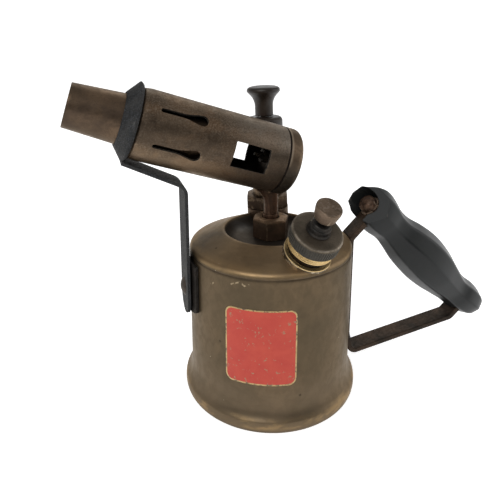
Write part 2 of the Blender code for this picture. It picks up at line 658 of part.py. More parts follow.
# Pad and rivet: the strap's foot is riveted to a curved pad that is soldered to the tank
strap_axis = empty("strap_axis", (0, 0, 0), (0, 0, math.pi), stand)
pad_in = TANK_RADIUS + SEAT_GAP
pad_out = pad_in + PAD_THICKNESS
pad_half_angle = PAD_WIDTH / 2 / TANK_RADIUS
pad_width_shares = (-1.0, -0.8, -0.4, 0.0, 0.4, 0.8, 1.0)
pad_straight_share = 0.6
pad_rings = []
for share in pad_width_shares:
    angle = pad_half_angle * share
    corner = max(abs(share) - pad_straight_share, 0.0) / (1 - pad_straight_share)
    foot = PAD_FOOT + PAD_CORNER_RISE * corner
    pad_rings.append([Vector((radius * math.cos(angle), radius * math.sin(angle), height))
                      for radius, height in ((pad_in, foot), (pad_out, foot),
                                             (pad_out, PAD_FOOT + PAD_HEIGHT),
                                             (pad_in, PAD_FOOT + PAD_HEIGHT))])
pad = loft("bracket_pad", pad_rings, strap_axis, BLACK_STEEL)
rivet_axis = empty("rivet_axis", (0, 0, RIVET_HEIGHT), (0, math.pi / 2, 0), strap_axis)
rivet_seat = strap_radius + STRAP_THICKNESS / 2 + SEAT_GAP
head_ball = (RIVET_HEAD_RADIUS ** 2 + RIVET_HEAD_HEIGHT ** 2) / (2 * RIVET_HEAD_HEIGHT)
head_start = math.asin(RIVET_HEAD_RADIUS / head_ball)
rivet_head_shares = (0.0, 0.4, 0.75, 1.0)
rivet_outline = [(head_ball * math.sin(head_start * share),
                  rivet_seat + RIVET_HEAD_HEIGHT - head_ball * (1 - math.cos(head_start * share)))
                 for share in rivet_head_shares]
rivet_outline += [(RIVET_SHANK_RADIUS, rivet_seat), (RIVET_SHANK_RADIUS, TANK_RADIUS + SEAT_GAP),
                  (0.0, TANK_RADIUS + SEAT_GAP)]
turned("bracket_rivet", rivet_outline, rivet_axis, BLACK_STEEL, SMALL_STEPS)
rivet_hole = RIVET_SHANK_RADIUS + SEAT_GAP
rivet_cut = turned("rivet_cut", [
    (0.0, rivet_seat + CUT_OVERRUN), (rivet_hole, rivet_seat + CUT_OVERRUN),
    (rivet_hole, TANK_RADIUS - CUT_OVERRUN), (0.0, TANK_RADIUS - CUT_OVERRUN)],
    rivet_axis, steps=SMALL_STEPS, cutter=True)
combine(bracket, rivet_cut)
combine(pad, rivet_cut)


# Filler: a neck soldered on the shoulder, a screw cap, and the air release through its roof
shoulder_top = rim_height - DISH_RIM_ROUND / 8
filler_seat = (shoulder_top - (FILLER_CENTRE_RADIUS - DISH_RIM_RADIUS) * shoulder_slope
               - FILLER_SINK)
filler = empty("filler_axis", (FILLER_CENTRE_RADIUS * math.cos(FILLER_ANGLE),
                               FILLER_CENTRE_RADIUS * math.sin(FILLER_ANGLE), filler_seat),
               (0, FILLER_LEAN, FILLER_ANGLE), stand)
groove_top = FILLER_FLANGE_HEIGHT + FILLER_GROOVE_HEIGHT
neck = turned("filler_neck", [
    (FILLER_BORE_RADIUS, FILLER_NECK_HEIGHT), (FILLER_THREAD_RADIUS, FILLER_NECK_HEIGHT),
    (FILLER_THREAD_RADIUS, groove_top), (FILLER_THREAD_RADIUS - FILLER_GROOVE_DEPTH, groove_top),
    (FILLER_THREAD_RADIUS - FILLER_GROOVE_DEPTH, FILLER_FLANGE_HEIGHT),
    (FILLER_FLANGE_RADIUS - SEAT_GAP, FILLER_FLANGE_HEIGHT),
    (FILLER_FLANGE_RADIUS, FILLER_FLANGE_HEIGHT - 2 * SEAT_GAP),
    (FILLER_FLANGE_RADIUS, -FILLER_ROOT_DROP), (FILLER_BORE_RADIUS, -FILLER_ROOT_DROP)],
    filler, BRIGHT, ROUND_STEPS, closed=True)
combine(neck, tank_form)
combine(tank_shell, turned("filler_bore_cut", [
    (0.0, FILLER_NECK_HEIGHT), (FILLER_BORE_RADIUS, FILLER_NECK_HEIGHT),
    (FILLER_BORE_RADIUS, -FILLER_NECK_HEIGHT), (0.0, -FILLER_NECK_HEIGHT)],
    filler, steps=SMALL_STEPS, cutter=True))
cap_ceiling = CAP_TOP - CAP_ROOF
spindle_bore = RELEASE_SPINDLE_RADIUS + SEAT_GAP
turned("filler_washer", [
    (WASHER_BORE_RADIUS, cap_ceiling - SEAT_GAP), (FILLER_THREAD_RADIUS, cap_ceiling - SEAT_GAP),
    (FILLER_THREAD_RADIUS, FILLER_NECK_HEIGHT + SEAT_GAP),
    (WASHER_BORE_RADIUS, FILLER_NECK_HEIGHT + SEAT_GAP)], filler, LEATHER, SMALL_STEPS, closed=True)
cap_bore = FILLER_THREAD_RADIUS + SEAT_GAP
turned("filler_cap", [
    (spindle_bore, CAP_TOP), (CAP_RADIUS - CAP_EDGE_ROUND, CAP_TOP),
    (CAP_RADIUS, CAP_TOP - CAP_EDGE_ROUND), (CAP_RADIUS, CAP_TOP - CAP_SKIRT),
    (cap_bore, CAP_TOP - CAP_SKIRT), (cap_bore, cap_ceiling), (spindle_bore, cap_ceiling)],
    filler, PATINA, ROUND_STEPS, closed=True)
gland_seat = CAP_TOP + SEAT_GAP
gland_top = gland_seat + RELEASE_GLAND_HEIGHT
nut("release_gland", RELEASE_GLAND_FLATS, gland_seat, gland_top, spindle_bore,
    RELEASE_GLAND_CHAMFER, filler, SOOTED)
knob_foot = gland_top + RELEASE_NECK_HEIGHT
socket_roof = knob_foot + RELEASE_KNOB_SOCKET
spindle_tip = cap_ceiling - RELEASE_SPINDLE_TAIL
turned("release_spindle", [
    (0.0, socket_roof - SEAT_GAP), (RELEASE_SPINDLE_RADIUS, socket_roof - SEAT_GAP),
    (RELEASE_SPINDLE_RADIUS, spindle_tip + RELEASE_SPINDLE_RADIUS), (0.0, spindle_tip)],
    filler, BRIGHT, SMALL_STEPS)
knob_top = knob_foot + RELEASE_KNOB_HEIGHT
turned("release_knob", [
    (0.0, knob_top), (RELEASE_KNOB_RADIUS - CAP_EDGE_ROUND, knob_top),
    (RELEASE_KNOB_RADIUS, knob_top - CAP_EDGE_ROUND),
    (RELEASE_KNOB_RADIUS, knob_top - RELEASE_KNOB_HEIGHT / 5),
    (RELEASE_KNOB_FOOT_RADIUS, knob_foot + CAP_EDGE_ROUND),
    (RELEASE_KNOB_FOOT_RADIUS - CAP_EDGE_ROUND, knob_foot), (spindle_bore, knob_foot),
    (spindle_bore, socket_roof), (0.0, socket_roof)], filler, PATINA, SMALL_STEPS + 4)


# Pump: a barrel through the shoulder, with its plunger pushed right down
pump = empty("pump_axis", (PUMP_CENTRE_RADIUS * math.cos(PUMP_ANGLE),
                           PUMP_CENTRE_RADIUS * math.sin(PUMP_ANGLE),
                           rim_height - PUMP_SEAT_DROP),
             (0, -PUMP_LEAN, PUMP_LEAN_TURN), stand)
barrel_hole = BARREL_RADIUS + SEAT_GAP
pump_neck = turned("pump_neck", [
    (barrel_hole, PUMP_NECK_HEIGHT), (PUMP_NECK_RADIUS - CAP_EDGE_ROUND, PUMP_NECK_HEIGHT),
    (PUMP_NECK_RADIUS, PUMP_NECK_HEIGHT - CAP_EDGE_ROUND), (PUMP_NECK_RADIUS, -PUMP_NECK_ROOT),
    (barrel_hole, -PUMP_NECK_ROOT)], pump, PATINA, ROUND_STEPS, closed=True)
combine(pump_neck, tank_form)
combine(tank_shell, turned("barrel_cut", [
    (0.0, PUMP_NECK_HEIGHT), (barrel_hole, PUMP_NECK_HEIGHT),
    (barrel_hole, -PUMP_NECK_HEIGHT - PUMP_NECK_ROOT), (0.0, -PUMP_NECK_HEIGHT - PUMP_NECK_ROOT)],
    pump, steps=SMALL_STEPS + 4, cutter=True))
lock_foot = PUMP_NECK_HEIGHT + SEAT_GAP
nut("pump_lock_nut", LOCK_NUT_CORNERS * math.sqrt(3), lock_foot, lock_foot + LOCK_NUT_HEIGHT,
    barrel_hole, LOCK_NUT_CHAMFER, pump, PATINA, turn=math.pi / 6)
barrel_bore = BARREL_RADIUS - BARREL_WALL
turned("pump_barrel", [
    (barrel_bore, BARREL_TOP), (BARREL_RADIUS, BARREL_TOP), (BARREL_RADIUS, BARREL_FOOT),
    (barrel_bore, BARREL_FOOT)], pump, PATINA, SMALL_STEPS + 4, closed=True)
pump_cap_top = BARREL_TOP + SEAT_GAP + PUMP_CAP_ROOF
pump_cap_outline = [(ROD_RADIUS + SEAT_GAP, pump_cap_top)]
pump_cap_outline += arc((PUMP_CAP_RADIUS - PUMP_CAP_ROUND, pump_cap_top - PUMP_CAP_ROUND),
                        PUMP_CAP_ROUND, math.pi / 2, 0, 4)
pump_cap_outline += [(PUMP_CAP_RADIUS, pump_cap_top - PUMP_CAP_HEIGHT),
                     (barrel_hole, pump_cap_top - PUMP_CAP_HEIGHT),
                     (barrel_hole, BARREL_TOP + SEAT_GAP),
                     (ROD_RADIUS + SEAT_GAP, BARREL_TOP + SEAT_GAP)]
turned("pump_cap", pump_cap_outline, pump, BAKELITE, SMALL_STEPS + 4, closed=True)

knob_base = pump_cap_top + KNOB_LIFT
rod_head = knob_base + KNOB_SOCKET_DEPTH
turned("pump_rod", [(0.0, rod_head - SEAT_GAP), (ROD_RADIUS, rod_head - SEAT_GAP),
                    (ROD_RADIUS, ROD_FOOT), (0.0, ROD_FOOT)], pump, BRIGHT, SMALL_STEPS)
knob_shares = ((0.42, 0.98), (0.78, 0.925), (0.96, 0.84), (1.0, 0.75), (0.94, 0.67),
               (0.77, 0.58), (0.64, 0.48), (0.585, 0.36))
knob_outline = [(0.0, knob_base + KNOB_HEIGHT)]
knob_outline += [(KNOB_RADIUS * out, knob_base + KNOB_HEIGHT * up) for out, up in knob_shares]
knob_outline += [(KNOB_STEM_RADIUS, knob_base), (ROD_RADIUS + SEAT_GAP, knob_base),
                 (ROD_RADIUS + SEAT_GAP, rod_head), (0.0, rod_head)]
turned("pump_knob", knob_outline, pump, BAKELITE, SMALL_STEPS + 4)

# Piston: a plate on the rod, a leather cup below it, and the nut that clamps them
rod_hole = ROD_RADIUS + SEAT_GAP
piston_nut_top = ROD_FOOT + PISTON_NUT_HEIGHT
cup_foot = piston_nut_top + SEAT_GAP
cup_radius = barrel_bore - RUNNING_GAP
cup_floor = cup_foot + CUP_WALL
plate_foot = cup_floor + SEAT_GAP
turned("pump_cup", [
    (cup_radius - CUP_WALL, cup_foot + CUP_HEIGHT), (cup_radius, cup_foot + CUP_HEIGHT),
    (cup_radius, cup_foot), (rod_hole, cup_foot), (rod_hole, cup_floor),
    (cup_radius - CUP_WALL, cup_floor)], pump, LEATHER, SMALL_STEPS + 4, closed=True)
plate_edge = cup_radius - CUP_WALL - SEAT_GAP
turned("pump_plate", [
    (rod_hole, plate_foot + PISTON_PLATE_HEIGHT), (plate_edge, plate_foot + PISTON_PLATE_HEIGHT),
    (plate_edge, plate_foot), (rod_hole, plate_foot)], pump, BRIGHT, SMALL_STEPS, closed=True)
nut("pump_nut", PISTON_NUT_FLATS, ROD_FOOT, piston_nut_top, rod_hole, SEAT_GAP, pump, BRIGHT)

# Check valve: a screwed body in the barrel's foot with a sprung cork disc
valve_top = BARREL_FOOT + VALVE_PLUG_IN_LENGTH
valve_flange_top = BARREL_FOOT - SEAT_GAP
valve_foot = valve_top - VALVE_BODY_LENGTH
chamber_roof = valve_top - VALVE_SEAT_WALL
turned("valve_body", [
    (VALVE_PORT_RADIUS, valve_top), (barrel_bore - SEAT_GAP, valve_top),
    (barrel_bore - SEAT_GAP, valve_flange_top), (BARREL_RADIUS, valve_flange_top),
    (BARREL_RADIUS, valve_flange_top - VALVE_FLANGE_HEIGHT),
    (VALVE_BODY_RADIUS, valve_flange_top - VALVE_FLANGE_HEIGHT), (VALVE_BODY_RADIUS, valve_foot),
    (VALVE_CHAMBER_RADIUS, valve_foot), (VALVE_CHAMBER_RADIUS, chamber_roof),
    (VALVE_PORT_RADIUS, chamber_roof)], pump, BRIGHT, SMALL_STEPS, closed=True)
disc_top = chamber_roof - SEAT_GAP
disc_foot = disc_top - VALVE_DISC_HEIGHT
turned("valve_disc", [(0.0, disc_top), (VALVE_DISC_RADIUS, disc_top),
                      (VALVE_DISC_RADIUS, disc_foot), (0.0, disc_foot)],
       pump, CORK, SMALL_STEPS)
plug_top = valve_foot + VALVE_PLUG_HEIGHT
turned("valve_plug", [
    (VALVE_PORT_RADIUS, plug_top), (VALVE_CHAMBER_RADIUS - SEAT_GAP, plug_top),
    (VALVE_CHAMBER_RADIUS - SEAT_GAP, valve_foot), (VALVE_PORT_RADIUS, valve_foot)],
    pump, BRIGHT, SMALL_STEPS, closed=True)
spring_low = plug_top + SEAT_GAP + VALVE_WIRE_RADIUS
spring_high = disc_foot - SEAT_GAP - VALVE_WIRE_RADIUS
wire = bpy.data.curves.new("valve_spring", "CURVE")
wire.dimensions = "3D"
coil = wire.splines.new("POLY")
coil_points = VALVE_SPRING_TURNS * VALVE_SPRING_POINTS_PER_TURN + 1
coil.points.add(coil_points - 1)
for at in range(coil_points):
    angle = math.tau * at / VALVE_SPRING_POINTS_PER_TURN
    height = spring_low + (spring_high - spring_low) * at / (coil_points - 1)
    coil.points[at].co = (VALVE_SPRING_RADIUS * math.cos(angle),
                          VALVE_SPRING_RADIUS * math.sin(angle), height, 1.0)
wire.bevel_depth = VALVE_WIRE_RADIUS
wire.bevel_resolution = 1
wire.use_fill_caps = True
place(bpy.data.objects.new("valve_spring", wire), pump, BROWN_STEEL)


# Handle: a moulded grip, swelling in the palm, bolted between the arms of a pressed bracket
handle = empty("handle_axis", (0, 0, 0), (0, 0, HANDLE_TURN), stand)
grip_top = Vector((TANK_RADIUS + GRIP_STANDOFF, rim_height + GRIP_RISE))
grip = empty("grip_axis", (grip_top.x, 0, grip_top.y), (0, GRIP_SLOPE, 0), handle)
grip_shares = ((0.0, 0.54, -0.03), (0.012, 0.58, -0.03), (0.03, 0.66, -0.01), (0.05, 0.75, 0.0),
               (0.09, 0.83, 0.04), (0.13, 0.85, 0.04), (0.18, 0.80, 0.02), (0.23, 0.725, 0.0),
               (0.29, 0.76, -0.03), (0.37, 0.90, -0.02), (0.45, 0.98, 0.0), (0.53, 1.0, 0.0),
               (0.62, 0.93, -0.01), (0.70, 0.80, -0.03), (0.77, 0.69, -0.04), (0.81, 0.675, -0.03),
               (0.85, 0.69, 0.0), (0.89, 0.67, 0.03), (0.935, 0.60, 0.06), (0.97, 0.455, 0.08),
               (0.99, 0.28, 0.08), (1.0, 0.12, 0.08))


def grip_ring(along, out, shift):
    """A section of the grip with soft facets."""
    ring = []
    for at in range(GRIP_SIDES):
        angle = math.tau * at / GRIP_SIDES
        reach = GRIP_RADIUS * out * (1 + GRIP_FACET_SHARE * math.cos(GRIP_FACETS / 2 * angle))
        ring.append(Vector((reach * math.cos(angle) - GRIP_RADIUS * shift,
                            reach * math.sin(angle), GRIP_LENGTH * along)))
    return ring


handle_grip = loft("handle_grip", [grip_ring(*share) for share in grip_shares], grip, BAKELITE)
bar_half = HANDLE_THICKNESS / 2
slot_depth = GRIP_LENGTH - GRIP_END_LENGTH
slot_end = slot_depth + HANDLE_THICKNESS + 2 * SEAT_GAP
insert_end = slot_end + SEAT_GAP + INSERT_LENGTH
combine(handle_grip, turned("grip_bore_cut", [
    (0.0, insert_end + SEAT_GAP), (INSERT_RADIUS + SEAT_GAP, insert_end + SEAT_GAP),
    (INSERT_RADIUS + SEAT_GAP, slot_end), (GRIP_BORE_RADIUS, slot_end),
    (GRIP_BORE_RADIUS, GRIP_RECESS_DEPTH), (GRIP_RECESS_RADIUS, GRIP_RECESS_DEPTH),
    (GRIP_RECESS_RADIUS, -CUT_OVERRUN), (0.0, -CUT_OVERRUN)], grip, steps=SMALL_STEPS, cutter=True))
notch_half = HANDLE_WIDTH / 2 + SEAT_GAP
combine(handle_grip, block("top_notch", (0, -notch_half, -CUT_OVERRUN),
                           (GRIP_RADIUS + CUT_OVERRUN, notch_half, GRIP_RECESS_DEPTH), grip))
combine(handle_grip, block("end_slot", (-HANDLE_TAB_OVERHANG - SEAT_GAP, -notch_half, slot_depth),
                           (GRIP_RADIUS + CUT_OVERRUN, notch_half, slot_end), grip))

# Bracket: one bar up the wall, with its ends bent out into the grip's notch and slot
top_bar = GRIP_RECESS_DEPTH - SEAT_GAP - bar_half
end_bar = slot_depth + SEAT_GAP + bar_half
down_grip = Vector((math.sin(GRIP_SLOPE), math.cos(GRIP_SLOPE)))
off_grip = Vector((math.cos(GRIP_SLOPE), -math.sin(GRIP_SLOPE)))
bar_x = TANK_RADIUS + SEAT_GAP + bar_half
top_hole = grip_top + down_grip * top_bar
end_hole = grip_top + down_grip * end_bar
high_corner = top_hole + off_grip * ((bar_x - top_hole.x) / off_grip.x)
low_arm = Vector((math.cos(HANDLE_LOW_SLOPE), math.sin(HANDLE_LOW_SLOPE)))
low_corner = Vector((foot_radius + HANDLE_FOOT_CLEARANCE, HANDLE_LOW_HEIGHT))
span = end_hole - low_corner
reach = (span.x * off_grip.y - span.y * off_grip.x) / (low_arm.x * off_grip.y - low_arm.y * off_grip.x)
end_corner = low_corner + low_arm * reach
bar_path = rounded([top_hole - off_grip * HANDLE_TAB_OVERHANG, high_corner,
                    (bar_x, HANDLE_KICK_HEIGHT), low_corner, end_corner,
                    end_hole - off_grip * HANDLE_TAB_OVERHANG], HANDLE_BEND_RADIUS)
handle_bracket = strip("handle_bracket", bar_path, [HANDLE_WIDTH] * len(bar_path), HANDLE_THICKNESS,
                       handle, BROWN_STEEL)
bolt_hole = BOLT_RADIUS + SEAT_GAP
combine(handle_bracket, turned("bolt_cut", [
    (0.0, GRIP_LENGTH), (bolt_hole, GRIP_LENGTH), (bolt_hole, 0.0), (0.0, 0.0)],
    grip, steps=SMALL_STEPS, cutter=True))

washer_low = top_bar - bar_half - SEAT_GAP
washer_high = washer_low - GRIP_WASHER_HEIGHT
turned("grip_washer", [
    (bolt_hole, washer_low), (GRIP_WASHER_RADIUS, washer_low), (GRIP_WASHER_RADIUS, washer_high),
    (bolt_hole, washer_high)], grip, BROWN_STEEL, SMALL_STEPS, closed=True)
nut_seat = washer_high - SEAT_GAP
bore_end = nut_seat - TOP_NUT_BORE_DEPTH
nut_wall = nut_seat - TOP_NUT_HEIGHT * TOP_NUT_WALL_SHARE
top_nut_outline = [(0.0, bore_end), (bolt_hole, bore_end), (bolt_hole, nut_seat),
                   (TOP_NUT_RADIUS, nut_seat)]
for step in range(DOME_STEPS):
    angle = math.pi / 2 * step / DOME_STEPS
    top_nut_outline.append((TOP_NUT_RADIUS * math.cos(angle),
                            nut_wall - (nut_wall - nut_seat + TOP_NUT_HEIGHT) * math.sin(angle)))
top_nut_outline.append((0.0, nut_seat - TOP_NUT_HEIGHT))
turned("grip_nut", top_nut_outline, grip, BROWN_STEEL, SMALL_STEPS)
insert_start = slot_end + SEAT_GAP
turned("grip_insert", [
    (bolt_hole, insert_end), (INSERT_RADIUS, insert_end), (INSERT_RADIUS, insert_start),
    (bolt_hole, insert_start)], grip, BRIGHT, SMALL_STEPS, closed=True)
turned("grip_bolt", [
    (0.0, insert_end), (BOLT_RADIUS, insert_end), (BOLT_RADIUS, bore_end + SEAT_GAP),
    (0.0, bore_end + SEAT_GAP)], grip, BROWN_STEEL, SMALL_STEPS)


# The origin lies under the middle of the lamp's box, on the plane that it stands on
bpy.context.view_layer.update()
graph = bpy.context.evaluated_depsgraph_get()
corners = []
for piece in lamp.objects:
    if piece.type != "EMPTY":
        seen = piece.evaluated_get(graph)
        shape = seen.to_mesh()
        corners += [piece.matrix_world @ vertex.co for vertex in shape.vertices]
        seen.to_mesh_clear()
stand.location = (-(min(c.x for c in corners) + max(c.x for c in corners)) / 2,
                  -(min(c.y for c in corners) + max(c.y for c in corners)) / 2, 0)
bpy.context.view_layer.update()
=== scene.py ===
"""Finishes and fine meshes of a brass blow lamp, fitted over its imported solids."""

import math

import bmesh
import bpy
from mathutils import Matrix, Vector
from mathutils.geometry import interpolate_bezier


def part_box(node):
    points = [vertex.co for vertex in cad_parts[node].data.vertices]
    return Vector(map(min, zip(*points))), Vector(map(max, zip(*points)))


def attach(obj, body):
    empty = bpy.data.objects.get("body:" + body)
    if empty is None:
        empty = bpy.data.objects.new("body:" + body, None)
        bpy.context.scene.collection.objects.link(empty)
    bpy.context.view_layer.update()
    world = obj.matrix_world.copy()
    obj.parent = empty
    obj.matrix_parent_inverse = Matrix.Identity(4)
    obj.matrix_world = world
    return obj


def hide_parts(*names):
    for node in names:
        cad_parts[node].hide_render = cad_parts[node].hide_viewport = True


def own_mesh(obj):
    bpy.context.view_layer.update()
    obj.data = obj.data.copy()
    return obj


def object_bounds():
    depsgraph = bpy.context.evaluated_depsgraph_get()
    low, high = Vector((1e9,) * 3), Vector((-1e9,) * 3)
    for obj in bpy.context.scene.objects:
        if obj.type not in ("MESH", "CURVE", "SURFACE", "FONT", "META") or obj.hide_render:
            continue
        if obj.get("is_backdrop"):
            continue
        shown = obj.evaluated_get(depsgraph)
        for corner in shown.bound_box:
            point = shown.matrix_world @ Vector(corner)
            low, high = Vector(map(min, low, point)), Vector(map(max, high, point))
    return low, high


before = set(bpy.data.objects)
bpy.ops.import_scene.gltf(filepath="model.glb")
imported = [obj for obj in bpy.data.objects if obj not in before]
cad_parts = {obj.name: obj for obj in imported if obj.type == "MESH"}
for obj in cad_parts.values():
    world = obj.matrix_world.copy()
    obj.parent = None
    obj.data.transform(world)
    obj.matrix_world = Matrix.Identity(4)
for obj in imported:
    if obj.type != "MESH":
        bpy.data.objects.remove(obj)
cad_low, cad_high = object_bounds()


# The view: the photographer stood before the lamp, a little left of its burner, with the camera
# just above the pump knob and tipped down, and the picture was cropped below its middle.
VIEW_LENS = 35.64
VIEW_SENSOR = 36
VIEW_DROP = -0.192
VIEW_TILT = math.radians(90 - 12.44)
VIEW_TURN = math.radians(-17.77)
VIEW_STAND = Vector((-0.09646, -0.26073, 0.2035))
tank_low, tank_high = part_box("tank_shell")
tank_foot = Vector(((tank_low.x + tank_high.x) / 2, (tank_low.y + tank_high.y) / 2, 0))


def stood(name, data):
    """An object made of this data and put in the scene."""
    made = bpy.data.objects.new(name, data)
    bpy.context.scene.collection.objects.link(made)
    return made


lens = bpy.data.cameras.new("view")
lens.lens = VIEW_LENS
lens.sensor_width = VIEW_SENSOR
lens.shift_y = VIEW_DROP
camera = stood("view", lens)
camera.location = tank_foot + VIEW_STAND
camera.rotation_euler = (VIEW_TILT, 0, VIEW_TURN)
bpy.context.scene.camera = camera
bpy.context.scene.view_settings.view_transform = "Standard"


# The bench: a pale round sweep under and behind the lamp, lit by three large soft boxes and by
# an even white room. A dark screen stands behind the photographer, and the tubes mirror it.
SWEEP_RADIUS = 2.2
SWEEP_RISE = 0.7
SWEEP_COLOUR = (0.82, 0.82, 0.82, 1.0)
SWEEP_GLOW = 0.85
ROOM_COLOUR = (1.0, 1.0, 1.0, 1.0)
ROOM_STRENGTH = 0.40
SCREEN_RADIUS = 1.35
SCREEN_HEIGHTS = (0.02, 0.78)
SCREEN_START = math.radians(-165)
SCREEN_SPAN = math.radians(140)
SCREEN_COLOUR = (0.02, 0.02, 0.02, 1.0)
SOFT_BOXES = (
    ("key", (-0.75, -0.85, 0.95), 0.9, 11.0),
    ("fill", (0.95, -0.45, 0.55), 0.8, 3.0),
    ("back", (0.35, 0.95, 1.0), 0.9, 3.0))
ON_AXIS = 1e-9


def meshed(name, shape):
    """A mesh made of a bmesh, which is used up."""
    mesh = bpy.data.meshes.new(name)
    shape.to_mesh(mesh)
    shape.free()
    return mesh


def stretch_of(start, lean, reach, end, count=14):
    """The points of one smooth stretch of an outline, without its first point."""
    line = interpolate_bezier(*[(*point, 0) for point in (start, lean, reach, end)], count)
    return [(point.x, point.y) for point in line[1:]]


def lathe(outline, ease=0.0002, steps=144, pitch=0.0018):
    """A bmesh turned about its Z from (radius, height) points, with eased corners. The outline
    is closed unless it starts on the axis."""
    shape = bmesh.new()
    points = [shape.verts.new((radius, 0, height)) for radius, height in outline]
    for pair in zip(points, points[1:]):
        shape.edges.new(pair)
    if outline[0][0] > ON_AXIS:
        shape.edges.new((points[-1], points[0]))
    corners = [point for point in points if len(point.link_edges) == 2 and point.co.x > ease
               and point.calc_edge_angle(0) > math.radians(24)]
    if ease and corners:
        bmesh.ops.bevel(shape, geom=corners, offset=ease, offset_type="OFFSET", segments=3,
                        profile=0.5, affect="VERTICES", clamp_overlap=True, material=-1)
    for side in [edge for edge in shape.edges if edge.calc_length() > pitch * 1.6]:
        bmesh.ops.subdivide_edges(shape, edges=[side], cuts=int(side.calc_length() / pitch))
    bmesh.ops.spin(shape, geom=shape.verts[:] + shape.edges[:], axis=(0, 0, 1), angle=math.tau,
                   steps=steps, use_merge=True)
    bmesh.ops.remove_doubles(shape, verts=shape.verts, dist=0.000002)
    bmesh.ops.recalc_face_normals(shape, faces=shape.faces)
    return shape


def blank(name, **inputs):
    """A material with some inputs of its shader set, by their names with _ for each space."""
    made = bpy.data.materials.new(name)
    made.use_nodes = True
    for label, value in inputs.items():
        socket = made.node_tree.nodes["Principled BSDF"].inputs[label.replace("_", " ")]
        socket.default_value = value
    return made


sweep_edge = SWEEP_RADIUS + SWEEP_RISE
bench = stood("bench", meshed("bench", lathe(
    [(0, 0), (SWEEP_RADIUS, 0)] + stretch_of(
        (SWEEP_RADIUS, 0), (SWEEP_RADIUS + SWEEP_RISE / 2, 0), (sweep_edge, SWEEP_RISE / 2),
        (sweep_edge, SWEEP_RISE), 12), ease=0, steps=96, pitch=SWEEP_RADIUS)))
bench.data.shade_smooth()
bench.data.materials.append(blank("bench_paint", Base_Color=SWEEP_COLOUR, Roughness=0.9,
                                  Emission_Color=SWEEP_COLOUR, Emission_Strength=SWEEP_GLOW))
bench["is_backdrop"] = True

screen_shape = bmesh.new()
turned = Matrix.Rotation(SCREEN_START, 3, "Z")
upright = [screen_shape.verts.new(turned @ Vector((SCREEN_RADIUS, 0, height)))
           for height in SCREEN_HEIGHTS]
bmesh.ops.spin(screen_shape, geom=upright + [screen_shape.edges.new(upright)], axis=(0, 0, 1),
               angle=SCREEN_SPAN, steps=32)
screen = stood("screen", meshed("screen", screen_shape))
screen.visible_camera = False
screen.data.materials.append(blank("screen_cloth", Base_Color=SCREEN_COLOUR, Roughness=1.0))
screen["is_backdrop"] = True

room = bpy.data.worlds.new("room")
room.use_nodes = True
room.node_tree.nodes["Background"].inputs["Color"].default_value = ROOM_COLOUR
room.node_tree.nodes["Background"].inputs["Strength"].default_value = ROOM_STRENGTH
bpy.context.scene.world = room
for label, place, size, power in SOFT_BOXES:
    glow = bpy.data.lights.new(label, "AREA")
    glow.size = size
    glow.energy = power
    soft_box = stood(label, glow)
    soft_box.location = place
    aim = (cad_low + cad_high) / 2 - Vector(place)
    soft_box.rotation_euler = aim.to_track_quat("-Z", "Y").to_euler()


# Tank: a drawn brass shell with a priming dish pressed in its top, a crease under its shoulder
# and a flared foot with a rolled edge. Its brass has gone brown, and shows where hands rub it.
TANK_RADIUS = 0.048
TANK_WALL = 0.0012
CREASE_HEIGHT = 0.0874
CREASE_DEPTH = 0.0003
RIM_HEIGHT = 0.0977
RIM_RADIUS = 0.028
RIM_ROUND = 0.0012
SHOULDER_ROUND = 0.0032
DISH_FLOOR = RIM_HEIGHT - 0.0054
DISH_FLOOR_RADIUS = 0.0185
SPIGOT_HOLE = 0.0063
FLARE_TOP = 0.0195
FOOT_RADIUS = 0.0523
FOOT_SWELL = FOOT_RADIUS - TANK_RADIUS
FOOT_ROLL = 0.007
FOOT_REST = 0.0479
CHIP_SCALE = 700.0
# The gold of the painted highlights on the shoulder roll and the rolled foot
PAINTED_HIGHLIGHT_GOLD = (0.36, 0.24, 0.115)
# The painted shade in the crease, also the dark of the dents
CREASE_SHADE_AND_DENT_DARK = (0.035, 0.026, 0.018)
# The belts of the tank, among them painted highlights, painted light and painted shade: their
# heights and softness, how strong they are where the clouds are thin and thick, and their colours
TANK_BELTS = (
    # A painted highlight along the shoulder roll
    (CREASE_HEIGHT + 0.0006, CREASE_HEIGHT + 0.0052, 0.0016, (0.25, 0.85), PAINTED_HIGHLIGHT_GOLD),
    (-0.01, 0.034, 0.014, (0.30, 0.18), (0.205, 0.150, 0.098)),
    # A painted highlight on the rolled foot
    (0.0018, FOOT_ROLL * 1.3, 0.002, (0.05, 0.55, 0.2), PAINTED_HIGHLIGHT_GOLD),
    # Painted shade in the crease
    (CREASE_HEIGHT - 0.0016, CREASE_HEIGHT + 0.0004, 0.0008, (0.7, 0.35), CREASE_SHADE_AND_DENT_DARK),
    # Painted light on the top of the shoulder, which faces up
    (CREASE_HEIGHT + 0.001, RIM_HEIGHT + 0.002, 0.0015, (0.80, 0.55), (0.255, 0.175, 0.098)))
TANK_SCRATCHES = (((-0.0340, -0.0338, 0.0829), (-0.0302, -0.0373, 0.0851)),
                  ((-0.0302, -0.0373, 0.0851), (-0.0285, -0.0386, 0.0832)),
                  ((-0.0285, -0.0386, 0.0832), (-0.0265, -0.0400, 0.0842)),
                  ((-0.0258, -0.0232, 0.0937), (-0.0228, -0.0250, 0.0936)),
                  ((-0.0421, -0.0230, 0.0790), (-0.0412, -0.0247, 0.0803)))
TANK_DENTS = ((-0.0226, -0.0353, 0.0897), (-0.0363, -0.0116, 0.0940), (-0.0332, -0.0346, 0.0069),
              (0.0, -0.048, 0.0196), (-0.0389, -0.0281, 0.0474), (0.031, -0.0366, 0.0795),
              (0.012, 0.0465, 0.052), (0.044, 0.0192, 0.068), (-0.0195, 0.0439, 0.0325))
lamp = Matrix.Translation(tank_foot)


